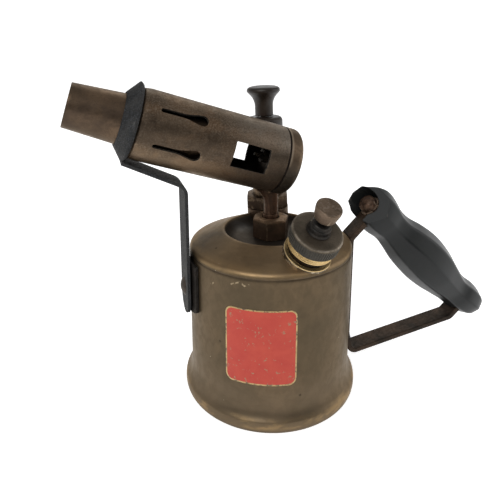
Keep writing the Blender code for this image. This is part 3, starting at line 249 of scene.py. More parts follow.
def add(tree, kind, inputs=None, **settings):
    """Add a shader node, set its options, and give its inputs values or links."""
    made = tree.nodes.new("ShaderNode" + kind)
    for name, value in settings.items():
        setattr(made, name, value)
    for key, value in (inputs or {}).items():
        if isinstance(value, bpy.types.NodeSocket):
            tree.links.new(value, made.inputs[key])
        else:
            made.inputs[key].default_value = value
    return made


def mixed(mask, *colours):
    """One colour under another that covers it where a mask says so."""
    under, over = [(*colour, 1) if isinstance(colour, tuple) else colour for colour in colours]
    return add(mask.id_data, "Mix", {0: mask, 6: under, 7: over}, data_type="RGBA").outputs[2]


def between(value, start, end, low=0.0, high=1.0, kind="SMOOTHSTEP"):
    """A value that runs from start to end while the given one runs from low to high."""
    return add(value.id_data, "MapRange", {
        "Value": value, "From Min": low, "From Max": high, "To Min": start, "To Max": end},
        interpolation_type=kind).outputs["Result"]


def maths(operation, first, second, kind="Math", out=0, **settings):
    """One step of arithmetic on two numbers or vectors."""
    return add(first.id_data, kind, {0: first, 1: second}, operation=operation,
               **settings).outputs[out]


def times(mask, *others):
    """The product of masks."""
    for other in others:
        mask = maths("MULTIPLY", mask, other)
    return mask


def effect(name, mask_of, **inputs):
    """Make a shared node group; returns what puts it in a material with values of its own."""
    group = bpy.data.node_groups.new(name, "ShaderNodeTree")
    for label, value in inputs.items():
        kind = "NodeSocketVector" if isinstance(value, tuple) else "NodeSocketFloat"
        group.interface.new_socket(label, in_out="INPUT", socket_type=kind)
    group.interface.new_socket("Mask", in_out="OUTPUT", socket_type="NodeSocketFloat")
    entry = group.nodes.new("NodeGroupInput").outputs
    mask = mask_of(add(group, "TexCoord").outputs["Object"], *entry[:len(inputs)])
    group.links.new(mask, group.nodes.new("NodeGroupOutput").inputs["Mask"])

    def placed(material, *values):
        made = add(material.node_tree, "Group", node_tree=group)
        for socket, value in zip(made.inputs, [*values, *[*inputs.values()][len(values):]]):
            socket.default_value = value
        return made.outputs[0]
    return placed


def blotch_mask(place, scale, stretch):
    """Broad clouds with finer ones in them."""
    cloud = add(place.id_data, "TexNoise", {
        "Vector": maths("MULTIPLY", place, stretch, "VectorMath"), "Scale": scale,
        "Detail": 6.0, "Roughness": 0.62, "Distortion": 0.4})
    return between(cloud.outputs["Fac"], 0.0, 1.0, 0.32, 0.68)


def worn_mask(place, start, end, scale):
    """Where a surface turns sharply outwards, broken up by small noise."""
    ridge = add(place.id_data, "NewGeometry").outputs["Pointiness"]
    chips = add(place.id_data, "TexNoise", {"Vector": place, "Scale": scale, "Detail": 4.0})
    return times(between(ridge, 0.0, 1.0, start, end, "LINEAR"),
                 between(chips.outputs["Fac"], 0.0, 1.0, 0.36, 0.60))


def speck_mask(place, scale, share):
    """Small dots of bare metal or dust, scattered by chance."""
    cells = add(place.id_data, "TexVoronoi", {"Vector": place, "Scale": scale}).outputs
    chance = add(place.id_data, "SeparateColor", {"Color": cells["Color"]}).outputs[0]
    return times(between(cells["Distance"], 0.0, 1.0, 0.16, 0.08),
                 maths("LESS_THAN", chance, share))


def spot_mask(place, centre, radius, core):
    """A soft round patch about a point of the object."""
    reach = maths("DISTANCE", place, centre, "VectorMath", "Value")
    return between(reach, 0.0, 1.0, radius, core)


def scratch_mask(place, start, end, width):
    """A thin line between two points of the object."""
    run = maths("SUBTRACT", end, start, "VectorMath")
    gap = maths("SUBTRACT", place, start, "VectorMath")
    share = maths("DIVIDE", maths("DOT_PRODUCT", gap, run, "VectorMath", "Value"),
                  maths("DOT_PRODUCT", run, run, "VectorMath", "Value"), use_clamp=True)
    foot = maths("MULTIPLY", run, share, "VectorMath")
    return between(maths("DISTANCE", gap, foot, "VectorMath", "Value"), 0.0, 1.0, width, 0.0)


def belt_mask(place, low, high, soft):
    """Everything between two heights of the object, with soft borders."""
    level = add(place.id_data, "SeparateXYZ", {0: place}).outputs["Z"]
    return times(*[between(maths("SUBTRACT", *pair), 0.0, 1.0, 0.0, soft, "LINEAR")
                   for pair in ((level, low), (high, level))])


POINT = (0, 0, 0)
blotches = effect("tarnish_blotches", blotch_mask, Scale=1.0, Stretch=(1, 1, 1))
wear = effect("worn_edges", worn_mask, From=0.0, To=1.0, Break=1.0)
specks = effect("specks", speck_mask, Scale=1.0, Share=0.0)
spot = effect("spot", spot_mask, Centre=POINT, Radius=0.0, Core=0.0)
scratch = effect("scratch", scratch_mask, Start=POINT, End=POINT, Width=0.0)
belt = effect("belt", belt_mask, Low=0.0, High=1.0, Soft=1.0)


def surface(material, colour, rough=None, grain=None, depth=0.12, distance=0.0002):
    """Link a finish's colour, roughness and relief to its shader."""
    tree = material.node_tree
    links = {"Base Color": colour, "Roughness": rough}
    if grain:
        links["Normal"] = add(tree, "Bump", {"Strength": depth, "Distance": distance,
                                             "Height": grain}).outputs["Normal"]
    for label, socket in links.items():
        if socket:
            tree.links.new(socket, tree.nodes["Principled BSDF"].inputs[label])
    return material


def pores(material, scale, detail):
    """Fine noise for the relief of a finish."""
    place = add(material.node_tree, "TexCoord").outputs["Object"]
    return add(material.node_tree, "TexNoise", {"Vector": place, "Scale": scale,
                                                "Detail": detail}).outputs["Fac"]


def aged_metal(name, dark, light, bare, rough, scale, edges=(0.515, 0.60), metallic=0.75,
               grain=900.0, depth=0.12, stretch=(1, 1, 1), glare=0.3,
               tint=(0.80, 0.74, 0.66, 1)):
    """Tarnished metal: two patina colours in blotches, bare metal on its edges, fine grain."""
    made = blank(name, Metallic=metallic, Specular_IOR_Level=glare, Specular_Tint=tint)
    dust = blotches(made, scale * 9, stretch)
    shade = mixed(blotches(made, scale, stretch), dark, light)
    shade = mixed(between(dust, 0.0, 0.35, 0.2), shade, dark)
    shade = mixed(wear(made, *edges, CHIP_SCALE), shade, bare)
    return surface(made, shade, between(dust, *rough), pores(made, grain, 3.0), depth)


def over_coat(material, colour, *masks):
    """Lay one more colour on a finish where the product of masks says so."""
    target = material.node_tree.nodes["Principled BSDF"].inputs["Base Color"]
    surface(material, mixed(times(*masks), target.links[0].from_socket, colour))


def quarter(centre, radius, start, end, count=8):
    """Points on an arc of an outline, with angles in degrees from straight out."""
    turns = [math.radians(start + (end - start) * at / (count - 1)) for at in range(count)]
    return [(centre[0] + radius * math.cos(turn), centre[1] + radius * math.sin(turn))
            for turn in turns]


def finished(name, shape, place, material, slot, *replaced, body="lamp"):
    """Turn a bmesh into a piece that rides on a body, with a finish, in place of its solids."""
    bmesh.ops.transform(shape, matrix=place, verts=shape.verts)
    piece = stood(name, meshed(name, shape))
    piece.data.shade_smooth()
    piece.data.set_sharp_from_angle(angle=math.radians(38))
    piece.data.materials.append(material)
    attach(piece, body)
    if replaced:
        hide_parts(*replaced)
    return piece


shoulder_slope = math.atan((RIM_HEIGHT - CREASE_HEIGHT - SHOULDER_ROUND)
                           / (TANK_RADIUS - SHOULDER_ROUND / 2 - RIM_RADIUS))
dish_end = (RIM_RADIUS - RIM_ROUND / 2, RIM_HEIGHT - RIM_ROUND / 6)
flare_end = (TANK_RADIUS + FOOT_SWELL * 0.84, FOOT_ROLL)
tank_line = [(SPIGOT_HOLE, DISH_FLOOR), (DISH_FLOOR_RADIUS, DISH_FLOOR)]
tank_line += stretch_of(tank_line[-1], (0.0225, DISH_FLOOR), (0.0255, RIM_HEIGHT - 0.0035),
                        dish_end)
tank_line += stretch_of(dish_end, (RIM_RADIUS, RIM_HEIGHT + 0.0001),
                        (RIM_RADIUS + RIM_ROUND / 2, RIM_HEIGHT + 0.0001),
                        (RIM_RADIUS + RIM_ROUND * 1.5, RIM_HEIGHT - RIM_ROUND / 3), 6)
tank_line += quarter((TANK_RADIUS - SHOULDER_ROUND, CREASE_HEIGHT + CREASE_DEPTH),
                     SHOULDER_ROUND, 90 - math.degrees(shoulder_slope), 0, 12)
tank_line += [(TANK_RADIUS - CREASE_DEPTH, CREASE_HEIGHT - CREASE_DEPTH),
              (TANK_RADIUS, CREASE_HEIGHT - 3 * CREASE_DEPTH), (TANK_RADIUS, FLARE_TOP)]
tank_line += stretch_of(tank_line[-1], (TANK_RADIUS, FLARE_TOP * 0.62),
                        (TANK_RADIUS + FOOT_SWELL * 0.35, FOOT_ROLL * 1.35), flare_end)
tank_line += stretch_of(flare_end, (FOOT_RADIUS - 0.0001, FOOT_ROLL * 0.86),
                        (FOOT_RADIUS + 0.0004, FOOT_ROLL * 0.12),
                        (TANK_RADIUS + FOOT_SWELL * 0.58, 0.0))
tank_line += [(FOOT_REST, 0.0), (0.0492, 0.0052), (0.0474, 0.0135),
              (TANK_RADIUS - TANK_WALL, FLARE_TOP), (TANK_RADIUS - TANK_WALL, 0.0862),
              (0.0436, 0.0896), (0.0290, 0.0957), (0.0272, 0.0957), (0.0245, 0.0920),
              (DISH_FLOOR_RADIUS, DISH_FLOOR - TANK_WALL), (SPIGOT_HOLE, DISH_FLOOR - TANK_WALL)]

tank_patina = aged_metal("tank_patina", (0.082, 0.061, 0.037), (0.122, 0.086, 0.050),
                         (0.42, 0.30, 0.15), (0.41, 0.50), 26.0, (0.53, 0.62),
                         stretch=(1, 1, 0.8))
clouds = blotches(tank_patina, 60.0, (1, 1, 2.5))
for low, high, soft, shares, colour in TANK_BELTS:
    over_coat(tank_patina, colour, belt(tank_patina, low, high, soft), between(clouds, *shares))
scuffed = between(blotches(tank_patina, 520.0), 0.0, 0.7, 0.25, 0.75)
for ends in TANK_SCRATCHES:
    start, end = [tank_foot + Vector(point) for point in ends]
    over_coat(tank_patina, (0.42, 0.33, 0.21), scratch(tank_patina, start, end, 0.0007), scuffed)
# The dents darken in the colour of the crease's painted shade
for dent in TANK_DENTS:
    pock = spot(tank_patina, tank_foot + Vector(dent), 0.0011, 0.0003)
    over_coat(tank_patina, CREASE_SHADE_AND_DENT_DARK, between(pock, 0.0, 0.7))
# The sooty dish, smoke on the shoulder under the burner, and ash behind the nut
for centre, radius, core, shares, colour in (
        ((0, 0, DISH_FLOOR + 0.001), 0.0285, 0.0262, None, (0.030, 0.029, 0.028)),
        ((-0.0370, 0.0010, 0.0935), 0.021, 0.004, (0.75, 0.35), (0.050, 0.048, 0.044)),
        ((-0.0121, 0.0168, 0.0925), 0.010, 0.001, (0.3, 0.8, 0.1, 0.9), (0.13, 0.125, 0.115))):
    patch = spot(tank_patina, tank_foot + Vector(centre), radius, core)
    masks = [patch, between(clouds, *shares)] if shares else [between(patch, 0.0, 0.88)]
    over_coat(tank_patina, colour, *masks)
over_coat(tank_patina, (0.45, 0.38, 0.27), between(specks(tank_patina, 420.0, 0.012), 0.0, 0.7))
finished("tank", lathe(tank_line, ease=0, steps=192), lamp, tank_patina, "tank_brass",
         "tank_shell")


# Bottom: a pressed plate soldered inside the foot, crowned up and with its rim turned down. No
# hand reaches it, so its brass stays dull and even.
def dress(node, material):
    """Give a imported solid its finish."""
    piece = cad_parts[node]
    if not piece.material_slots:
        piece.data.materials.append(material)
    for place in piece.material_slots:
        place.material = material
    return piece


dull_brass = aged_metal("dull_brass", (0.055, 0.041, 0.028), (0.105, 0.076, 0.047),
                        (0.20, 0.14, 0.07), (0.48, 0.66), 60.0)
dress("base_plate", dull_brass)


# Panel: a plain red transfer with a gold line round it, stuck on the wall of the tank. Its
# lacquer is thin and satin, and it is chipped to the brass along its border.
PANEL_LEFT = math.radians(-139.5)
PANEL_RIGHT = math.radians(-92.8)
PANEL_LOW = 0.0268
PANEL_HIGH = 0.0705
PANEL_CORNER = 0.0042
PANEL_SHEET = 0.00006
PANEL_LINE = 0.0008
PANEL_RADIUS = TANK_RADIUS + 0.00002
PANEL_BENDS = 30

panel_width = (PANEL_RIGHT - PANEL_LEFT) * PANEL_RADIUS
panel_shape = bmesh.new()
bmesh.ops.create_grid(panel_shape, x_segments=1, y_segments=1, size=0.5)
bmesh.ops.scale(panel_shape, vec=(panel_width, PANEL_HIGH - PANEL_LOW, 1),
                verts=panel_shape.verts)
bmesh.ops.bevel(panel_shape, geom=panel_shape.verts[:], offset=PANEL_CORNER,
                offset_type="OFFSET", segments=8, profile=0.5, affect="VERTICES", material=-1)
for index in (1, 0):
    middle = max(panel_shape.faces, key=lambda face: face.calc_area())
    made = bmesh.ops.inset_individual(panel_shape, faces=[middle], thickness=PANEL_LINE,
                                      use_even_offset=True)
    for face in made["faces"]:
        face.material_index = index
for number in range(1, PANEL_BENDS):
    across = panel_width * (number / PANEL_BENDS - 0.5)
    bmesh.ops.bisect_plane(panel_shape, dist=0.000001, plane_co=(across, 0, 0),
                           plane_no=(1, 0, 0),
                           geom=panel_shape.verts[:] + panel_shape.edges[:] + panel_shape.faces[:])
for corner in panel_shape.verts:
    turn = (PANEL_LEFT + PANEL_RIGHT) / 2 + corner.co.x / PANEL_RADIUS
    corner.co = (PANEL_RADIUS * math.cos(turn), PANEL_RADIUS * math.sin(turn),
                 (PANEL_LOW + PANEL_HIGH) / 2 + corner.co.y)
bmesh.ops.recalc_face_normals(panel_shape, faces=panel_shape.faces)
if sum(face.normal.dot(face.calc_center_median()) for face in panel_shape.faces) < 0:
    bmesh.ops.reverse_faces(panel_shape, faces=panel_shape.faces)


def lacquer(name, fresh, faded, chipped, share):
    """Thin satin paint: faded in clouds, speckled, and chipped to the brass in places."""
    made = blank(name, Specular_IOR_Level=0.3)
    cloud = blotches(made, 70.0)
    shade = mixed(cloud, fresh, faded)
    shade = mixed(between(blotches(made, 420.0), 0.0, 1.0, 1.0 - share), shade, chipped)
    shade = mixed(between(specks(made, 300.0, 0.03), 0.0, 0.6), shade, chipped)
    return surface(made, shade, between(cloud, 0.42, 0.58))


panel = finished("panel", panel_shape, lamp, lacquer(
    "panel_red", (0.42, 0.040, 0.026), (0.47, 0.062, 0.038), (0.30, 0.17, 0.10), 0.12),
    "tank_brass")
panel.data.materials.append(lacquer(
    "panel_gold", (0.55, 0.40, 0.18), (0.42, 0.29, 0.12), (0.10, 0.075, 0.05), 0.55))
film = panel.modifiers.new("film", "SOLIDIFY")
film.thickness = PANEL_SHEET
film.offset = 1


# Gland: a screwed stub in the floor of the dish, and the hexagon nut that holds the burner down
# on it. Both are brass, browned by heat, with the nut's crown rubbed by the spanner.
GLAND_HEIGHT = 0.0062
GLAND_NUT_FLATS = 0.019
GLAND_NUT_HEIGHT = 0.0118
GLAND_NUT_BORE = 0.0052
GLAND_NUT_CHAMFER = 0.0015
NUT_SIDES = 96
NUT_LEVELS = 6
NUT_SLANT = 0.62
SEAT = 0.0003
stub_top = DISH_FLOOR + GLAND_HEIGHT
nut_foot = DISH_FLOOR + 2 * SEAT
nut_top = nut_foot + GLAND_NUT_HEIGHT


def carved(shape, tools):
    """Cut one bmesh with others, which are used up."""
    work = [stood(f"work_{number}", meshed(f"work_{number}", part))
            for number, part in enumerate([shape] + tools)]
    for tool in work[1:]:
        step = work[0].modifiers.new("step", "BOOLEAN")
        step.operation = "DIFFERENCE"
        step.solver = "EXACT"
        step.object = tool
    bpy.context.view_layer.update()
    made = bmesh.new()
    made.from_object(work[0], bpy.context.evaluated_depsgraph_get())
    for part in work:
        bpy.data.objects.remove(part)
    bmesh.ops.remove_doubles(made, verts=made.verts, dist=0.000001)
    return made


def eased(piece, width, turn=40, segments=2):
    """Round off the sharp edges of a piece."""
    step = piece.modifiers.new("eased", "BEVEL")
    step.width = width
    step.segments = segments
    step.limit_method = "ANGLE"
    step.angle_limit = math.radians(turn)
    step.harden_normals = True


def ringed(rings, closed=False):
    """A skin through rings of points, bridged one to the next and then capped or closed."""
    shape = bmesh.new()
    before = first = None
    for ring in rings:
        points = bmesh.ops.create_circle(shape, segments=len(ring), radius=1)["verts"]
        for point, place in zip(points, ring):
            point.co = place
        sides = list({edge for point in points for edge in point.link_edges
                      if all(end in points for end in edge.verts)})
        if before:
            bmesh.ops.bridge_loops(shape, edges=before + sides)
        before = sides
        first = first or sides
    if closed:
        bmesh.ops.bridge_loops(shape, edges=before + first)
    else:
        bmesh.ops.holes_fill(shape, edges=[edge for edge in shape.edges if edge.is_boundary])
    bmesh.ops.recalc_face_normals(shape, faces=shape.faces)
    return shape


def hexagon_nut(flats, foot, top, bore, chamfer, turn=0.0):
    """A nut: rings of points that follow six flats, cut back where a cone bounds them."""
    crown = flats / math.sqrt(3) - chamfer
    rings = [[] for level in range(NUT_LEVELS + 5)]
    for number in range(NUT_SIDES):
        way = math.tau * number / NUT_SIDES
        flat = flats / 2 / math.cos((way - turn) % (math.pi / 3) - math.pi / 6)
        drop = max(flat - crown, 0) * NUT_SLANT
        rise = foot + drop / 3 - top + drop
        wall = [(flat, top - drop + rise * level / NUT_LEVELS) for level in range(NUT_LEVELS + 1)]
        line = [(bore, top), (min(flat, crown), top), *wall,
                (min(flat, crown + chamfer / 2), foot), (bore, foot)]
        for ring, (reach, height) in zip(rings, line):
            ring.append((reach * math.cos(way), reach * math.sin(way), height))
    return ringed(rings, closed=True)


nut_brass = aged_metal("nut_brass", (0.042, 0.028, 0.019), (0.088, 0.054, 0.034),
                       (0.13, 0.088, 0.055), (0.34, 0.55), 90.0, (0.54, 0.64))
over_coat(nut_brass, (0.24, 0.155, 0.092),
          belt(nut_brass, nut_top - 0.0017, nut_top + 0.002, 0.0009),
          between(blotches(nut_brass, 150.0), 0.4, 0.95, 0.1, 0.9))
gland_nut = finished("gland_nut_form", hexagon_nut(
    GLAND_NUT_FLATS, nut_foot, nut_top, GLAND_NUT_BORE, GLAND_NUT_CHAMFER), lamp, nut_brass,
    "tank_brass", "gland_nut")
eased(gland_nut, 0.00035)
dress("tank_gland", dull_brass)
dress("feed_tube", dull_brass)


# Wick: a plait of cotton drawn through the feed tube down to the bottom of the tank. Paraffin
# has yellowed it a little.
def woven(name, dark, light, pitch):
    """Soft cord or leather fibre: a fine crossed weave with a rough surface."""
    made = blank(name, Roughness=0.9)
    place = add(made.node_tree, "TexCoord").outputs["Object"]
    strands = add(made.node_tree, "TexWave", {"Vector": place, "Scale": pitch, "Detail": 2.0,
                                              "Distortion": 2.5},
                  bands_direction="DIAGONAL").outputs["Fac"]
    return surface(made, mixed(strands, dark, light), None, strands, 0.5, 0.0003)


dress("feed_wick", woven("wick_cotton", (0.34, 0.30, 0.23), (0.60, 0.55, 0.45), 500.0))


# Burner head: one brass casting of the rear drum, the riser below it and the web between them.
# It is the hottest piece, so it has gone dark with a red tinge, bare only on its round edge.
# Its drum also has a painted highlight on that edge and above its front joint, and painted shade
# on its underside.
BURNER_HEIGHT = 0.1401
BURNER_TILT = math.radians(17.6)
BARREL_SIZE = 0.0194
SHROUD_FRONT = 0.080
DRUM_FRONT = -0.0028
DRUM_REAR = -0.0115
DRUM_ROUND = 0.0034
SPIGOT_LENGTH = 0.005
SPIGOT_SIZE = 0.0175
RISER_WIDTH = 0.0082
RISER_DEPTH = 0.0090
RISER_GROOVE = 0.0011
FERRULE_RADIUS = 0.0047
FERRULE_LENGTH = 0.0082
RISER_FOOT_RADIUS = 0.0076
RISER_FOOT_HEIGHT = 0.002
GUSSET_REACH = 0.0135
GUSSET_DEPTH = 0.0091
GUSSET_STEPS = 12
RISER_SIDES = 40
BURNER_TONES = ((0.070, 0.050, 0.034), (0.130, 0.090, 0.058), (0.34, 0.25, 0.165))
JOINT_DARK = (0.018, 0.013, 0.010)


def along_mask(place, origin, way, start, end):
    """What lies past a distance along a line, rising softly up to another distance."""
    gap = maths("SUBTRACT", place, origin, "VectorMath")
    return between(maths("DOT_PRODUCT", gap, way, "VectorMath", "Value"), 0.0, 1.0, start, end)


def gauge(place, axis=(0, 0, 1)):
    """What puts a mask in a material that rises along one axis of a placed group of pieces."""
    way = (place.to_3x3() @ Vector(axis)).normalized()
    return lambda material, start, end: along(material, place.translation, way, start, end)


along = effect("along", along_mask, Origin=POINT, Way=POINT, From=0.0, To=1.0)
burner = (lamp @ Matrix.Translation((0, 0, BURNER_HEIGHT))
          @ Matrix.Rotation(BURNER_TILT - math.pi / 2, 4, "Y"))
by_station = gauge(burner)
by_side = gauge(burner, (1, 0, 0))
by_level = gauge(lamp)


def riser_ring(height, reach):
    """A two-lobed section of the riser that reaches further towards the nozzle."""
    ring = []
    for number in range(RISER_SIDES):
        turn = math.tau * number / RISER_SIDES
        waist = 1 - 2 * RISER_GROOVE / RISER_DEPTH * math.sin(turn) ** 8
        x = RISER_WIDTH / 2 * math.cos(turn)
        if x < 0:
            x *= 1 + 2 * reach / RISER_WIDTH
        ring.append((x, RISER_DEPTH / 2 * math.sin(turn) * waist, height))
    return ring


riser_foot = stub_top + SEAT
ferrule_foot = riser_foot + RISER_FOOT_HEIGHT
ferrule_top = riser_foot + FERRULE_LENGTH
gusset_foot = BURNER_HEIGHT - BARREL_SIZE * math.cos(BURNER_TILT) - GUSSET_DEPTH
gusset_rise = GUSSET_DEPTH + BARREL_SIZE / 4
riser_rings = [riser_ring(ferrule_top - 0.002, 0), riser_ring((ferrule_top + gusset_foot) / 2, 0)]
riser_rings += [riser_ring(gusset_foot + gusset_rise * share, GUSSET_REACH * share ** 2.4)
                for share in [number / GUSSET_STEPS for number in range(GUSSET_STEPS + 1)]]
saddle = lathe([(0, SHROUD_FRONT), (BARREL_SIZE + SEAT / 2, SHROUD_FRONT),
                (BARREL_SIZE + SEAT / 2, DRUM_FRONT), (0, DRUM_FRONT)], ease=0)
bmesh.ops.transform(saddle, matrix=lamp.inverted() @ burner, verts=saddle.verts)
riser_brass = aged_metal("riser_brass", (0.036, 0.022, 0.015), (0.085, 0.045, 0.027),
                         (0.26, 0.18, 0.11), (0.36, 0.58), 80.0, (0.53, 0.62), depth=0.25)
riser = finished("riser", carved(ringed(riser_rings), [saddle]), lamp, riser_brass,
                 "sooted_brass")
eased(riser, 0.0003, turn=50)
finished("ferrule", lathe([
    (0, ferrule_top), (FERRULE_RADIUS, ferrule_top), (FERRULE_RADIUS, ferrule_foot),
    (RISER_FOOT_RADIUS, ferrule_foot), (RISER_FOOT_RADIUS, riser_foot), (0, riser_foot)]),
    lamp, riser_brass, "sooted_brass")

drum_brass = aged_metal("drum_brass", *BURNER_TONES, (0.36, 0.54), 45.0, (0.53, 0.62))
# The underside of the drum, where shade is painted
drum_shaded_underside = by_side(drum_brass, 0.007, -0.007)
# Bare brass and a painted highlight, in patches, on the round rear edge
over_coat(drum_brass, (0.20, 0.145, 0.095),
          by_station(drum_brass, DRUM_REAR + DRUM_ROUND * 1.2, DRUM_REAR + DRUM_ROUND * 0.3),
          between(blotches(drum_brass, 110.0), 0.0, 0.5, 0.2))
# Painted shade on the underside
over_coat(drum_brass, (0.030, 0.027, 0.022), between(drum_shaded_underside, 0.0, 0.8))
# A painted highlight on the upper side, just behind the front joint
over_coat(drum_brass, (0.34, 0.27, 0.20),
          by_station(drum_brass, DRUM_FRONT - 0.0020, DRUM_FRONT - 0.0009),
          between(drum_shaded_underside, 0.6, 0.0, 0.0, 0.7))
over_coat(drum_brass, JOINT_DARK,
          by_station(drum_brass, DRUM_FRONT - 0.0006, DRUM_FRONT - 0.0003))
drum_line = [(0, DRUM_FRONT + SPIGOT_LENGTH), (SPIGOT_SIZE, DRUM_FRONT + SPIGOT_LENGTH),
             (SPIGOT_SIZE, DRUM_FRONT), (BARREL_SIZE, DRUM_FRONT)]
drum_line += quarter((BARREL_SIZE - DRUM_ROUND, DRUM_REAR + DRUM_ROUND), DRUM_ROUND, 0, -90, 12)
finished("drum", lathe([*drum_line, (0, DRUM_REAR)]), burner, drum_brass, "sooted_brass",
         "burner_head")
dress("jet_nipple", aged_metal("sooty_brass", (0.012, 0.010, 0.008), (0.030, 0.024, 0.018),
                               (0.06, 0.045, 0.03), (0.6, 0.85), 150.0, metallic=0.4))


# Shroud: a brass tube over the flame tube, with a square window through both sides for air and
# two teardrop slots on each side. Heat has browned it in streaks, and its cut edges shine. A dark
# belt along its middle is a painted reflection, its underside has painted light, and its lower
# rear has painted shade.
SHROUD_WALL = 0.0016
SHROUD_REAR = -0.0025
SHROUD_NOSE = 0.0016
NOSE_BORE = 0.0141
NOSE_WALL = 0.0024
WINDOW_REAR = 0.0088
WINDOW_LENGTH = 0.020
WINDOW_HEIGHT = 0.0138
WINDOW_DROP = 0.0008
SLOT_ANGLES = (36, -21, 201, 144)
SLOT_TIP = 0.0706
SLOT_TIP_RADIUS = 0.00118
SLOT_BULB = 0.0486
SLOT_BULB_RADIUS = 0.0031

shroud_bore = BARREL_SIZE - SHROUD_WALL
shroud_shape = lathe([
    (NOSE_BORE, SHROUD_FRONT), (BARREL_SIZE - SHROUD_NOSE, SHROUD_FRONT),
    (BARREL_SIZE - SHROUD_NOSE / 3, SHROUD_FRONT - SHROUD_NOSE * 0.8),
    (BARREL_SIZE, SHROUD_FRONT - SHROUD_NOSE * 3), (BARREL_SIZE, SHROUD_REAR),
    (shroud_bore, SHROUD_REAR), (shroud_bore, SHROUD_FRONT - NOSE_WALL),
    (NOSE_BORE, SHROUD_FRONT - NOSE_WALL)], steps=180)
window = bmesh.new()
bmesh.ops.create_cube(window, size=1)
bmesh.ops.bevel(window, geom=[edge for edge in window.edges
                              if abs(edge.verts[0].co.y - edge.verts[1].co.y) > 0.5],
                offset=0.03, segments=3, profile=0.5, affect="EDGES", material=-1)
bmesh.ops.scale(window, vec=(WINDOW_HEIGHT, BARREL_SIZE * 3, WINDOW_LENGTH), verts=window.verts)
bmesh.ops.translate(window, vec=(-WINDOW_DROP, 0, WINDOW_REAR + WINDOW_LENGTH / 2),
                    verts=window.verts)


def swept(shape, made, way):
    """Draw out what an extrusion has just made."""
    bmesh.ops.translate(shape, vec=way, verts=[item for item in made["geom"]
                                               if isinstance(item, bmesh.types.BMVert)])


def slot_tool(angle):
    """A teardrop bar that stands out from the burner's axis at one angle."""
    tool = bmesh.new()
    bulb = quarter((0, SLOT_BULB), SLOT_BULB_RADIUS, 180, 360, 14)
    tip = quarter((0, SLOT_TIP - SLOT_TIP_RADIUS), SLOT_TIP_RADIUS, 0, 180)
    rise = SLOT_TIP - SLOT_BULB
    right = stretch_of(bulb[-1], (SLOT_BULB_RADIUS, SLOT_BULB + rise * 0.14),
                       (SLOT_TIP_RADIUS, SLOT_BULB + rise * 0.26),
                       (SLOT_TIP_RADIUS, SLOT_BULB + rise * 0.52))
    line = bulb + right + tip + [(-x, z) for x, z in reversed(right)]
    points = [tool.verts.new((0, x, z)) for x, z in line]
    for pair in zip(points, points[1:] + points[:1]):
        tool.edges.new(pair)
    bmesh.ops.translate(tool, vec=(BARREL_SIZE - SHROUD_WALL * 2.2, 0, 0), verts=tool.verts)
    face = bmesh.ops.contextual_create(tool, geom=tool.edges[:])["faces"]
    swept(tool, bmesh.ops.extrude_face_region(tool, geom=face), (SHROUD_WALL * 4, 0, 0))
    bmesh.ops.recalc_face_normals(tool, faces=tool.faces)
    bmesh.ops.rotate(tool, verts=tool.verts, cent=(0, 0, 0),
                     matrix=Matrix.Rotation(math.radians(angle - 90), 3, "Z"))
    return tool


def sooted_inside(piece, low, high):
    """Blacken the faces of a burner tube that look inwards or line its cuts."""
    piece.data.materials.append(soot_black)
    back = burner.inverted()
    for face in piece.data.polygons:
        middle = back @ face.center
        way = back.to_3x3() @ face.normal
        if way.xy.dot(middle.xy.normalized()) < 0.3 and low < middle.z < high:
            face.material_index = 1


soot_black = aged_metal("soot_black", (0.008, 0.007, 0.006), (0.020, 0.018, 0.016),
                        (0.05, 0.04, 0.03), (0.75, 0.95), 120.0, metallic=0.1)
shroud_brass = aged_metal("shroud_brass", *BURNER_TONES, (0.36, 0.54), 30.0, (0.52, 0.60))
warm = blotches(shroud_brass, 48.0, (1, 1, 1.6))
grit = blotches(shroud_brass, 1300.0)
light_dots = specks(shroud_brass, 520.0, 0.012)
# A warm tinge, the grey upper rear, grit, a dark belt that is a painted reflection, painted light
# on the underside and painted shade on the lower rear
for colour, *masks in (
        ((0.155, 0.088, 0.045), between(warm, 0.0, 0.38, 0.35)),
        ((0.20, 0.172, 0.142), by_station(shroud_brass, 0.040, 0.010), between(warm, 0.85, 0.4),
         by_level(shroud_brass, BURNER_HEIGHT - 0.001, BURNER_HEIGHT + 0.013)),
        ((0.24, 0.195, 0.15), between(grit, 0.0, 0.38, 0.45)),
        ((0.040, 0.028, 0.020), between(grit, 0.0, 0.45, 0.40, 0.0)),
        ((0.40, 0.32, 0.20), between(light_dots, 0.0, 0.6)),
        # A painted dark reflection, as a belt along the middle
        ((0.048, 0.034, 0.023), by_side(shroud_brass, -0.012, -0.005),
         by_side(shroud_brass, 0.013, 0.004), between(warm, 0.72, 0.45)),
        # Painted light on the underside
        ((0.20, 0.136, 0.082), by_side(shroud_brass, -0.006, -0.012),
         by_station(shroud_brass, 0.012, 0.042), between(warm, 0.3, 0.65)),
        # Painted shade on the lower rear
        ((0.040, 0.028, 0.020), by_station(shroud_brass, 0.048, 0.018),
         between(by_side(shroud_brass, 0.004, -0.008), 0.0, 0.55)),
        (JOINT_DARK, by_station(shroud_brass, SHROUD_REAR + 0.0006, SHROUD_REAR + 0.0004))):
    over_coat(shroud_brass, colour, *masks)
shroud = finished("shroud", carved(shroud_shape, [window, *map(slot_tool, SLOT_ANGLES)]),
                  burner, shroud_brass, "sooted_brass", "burner_shroud")
sooted_inside(shroud, SHROUD_REAR + 0.0004, SHROUD_FRONT - 0.0004)
eased(shroud, 0.00018, turn=55)


# Flame tube: a rolled brass tube that runs inside the shroud and comes out through its nose as
# the nozzle. Its mouth is square cut, and flame has left soot inside; a dark belt along the middle
# of its outside is a painted reflection.
TUBE_RADIUS = 0.0138
TUBE_WALL = 0.0012
TUBE_INNER_END = 0.033
NOZZLE_START = 0.0874
NOZZLE_START_RADIUS = 0.0135
MOUTH = 0.1139
MOUTH_RADIUS = 0.0116

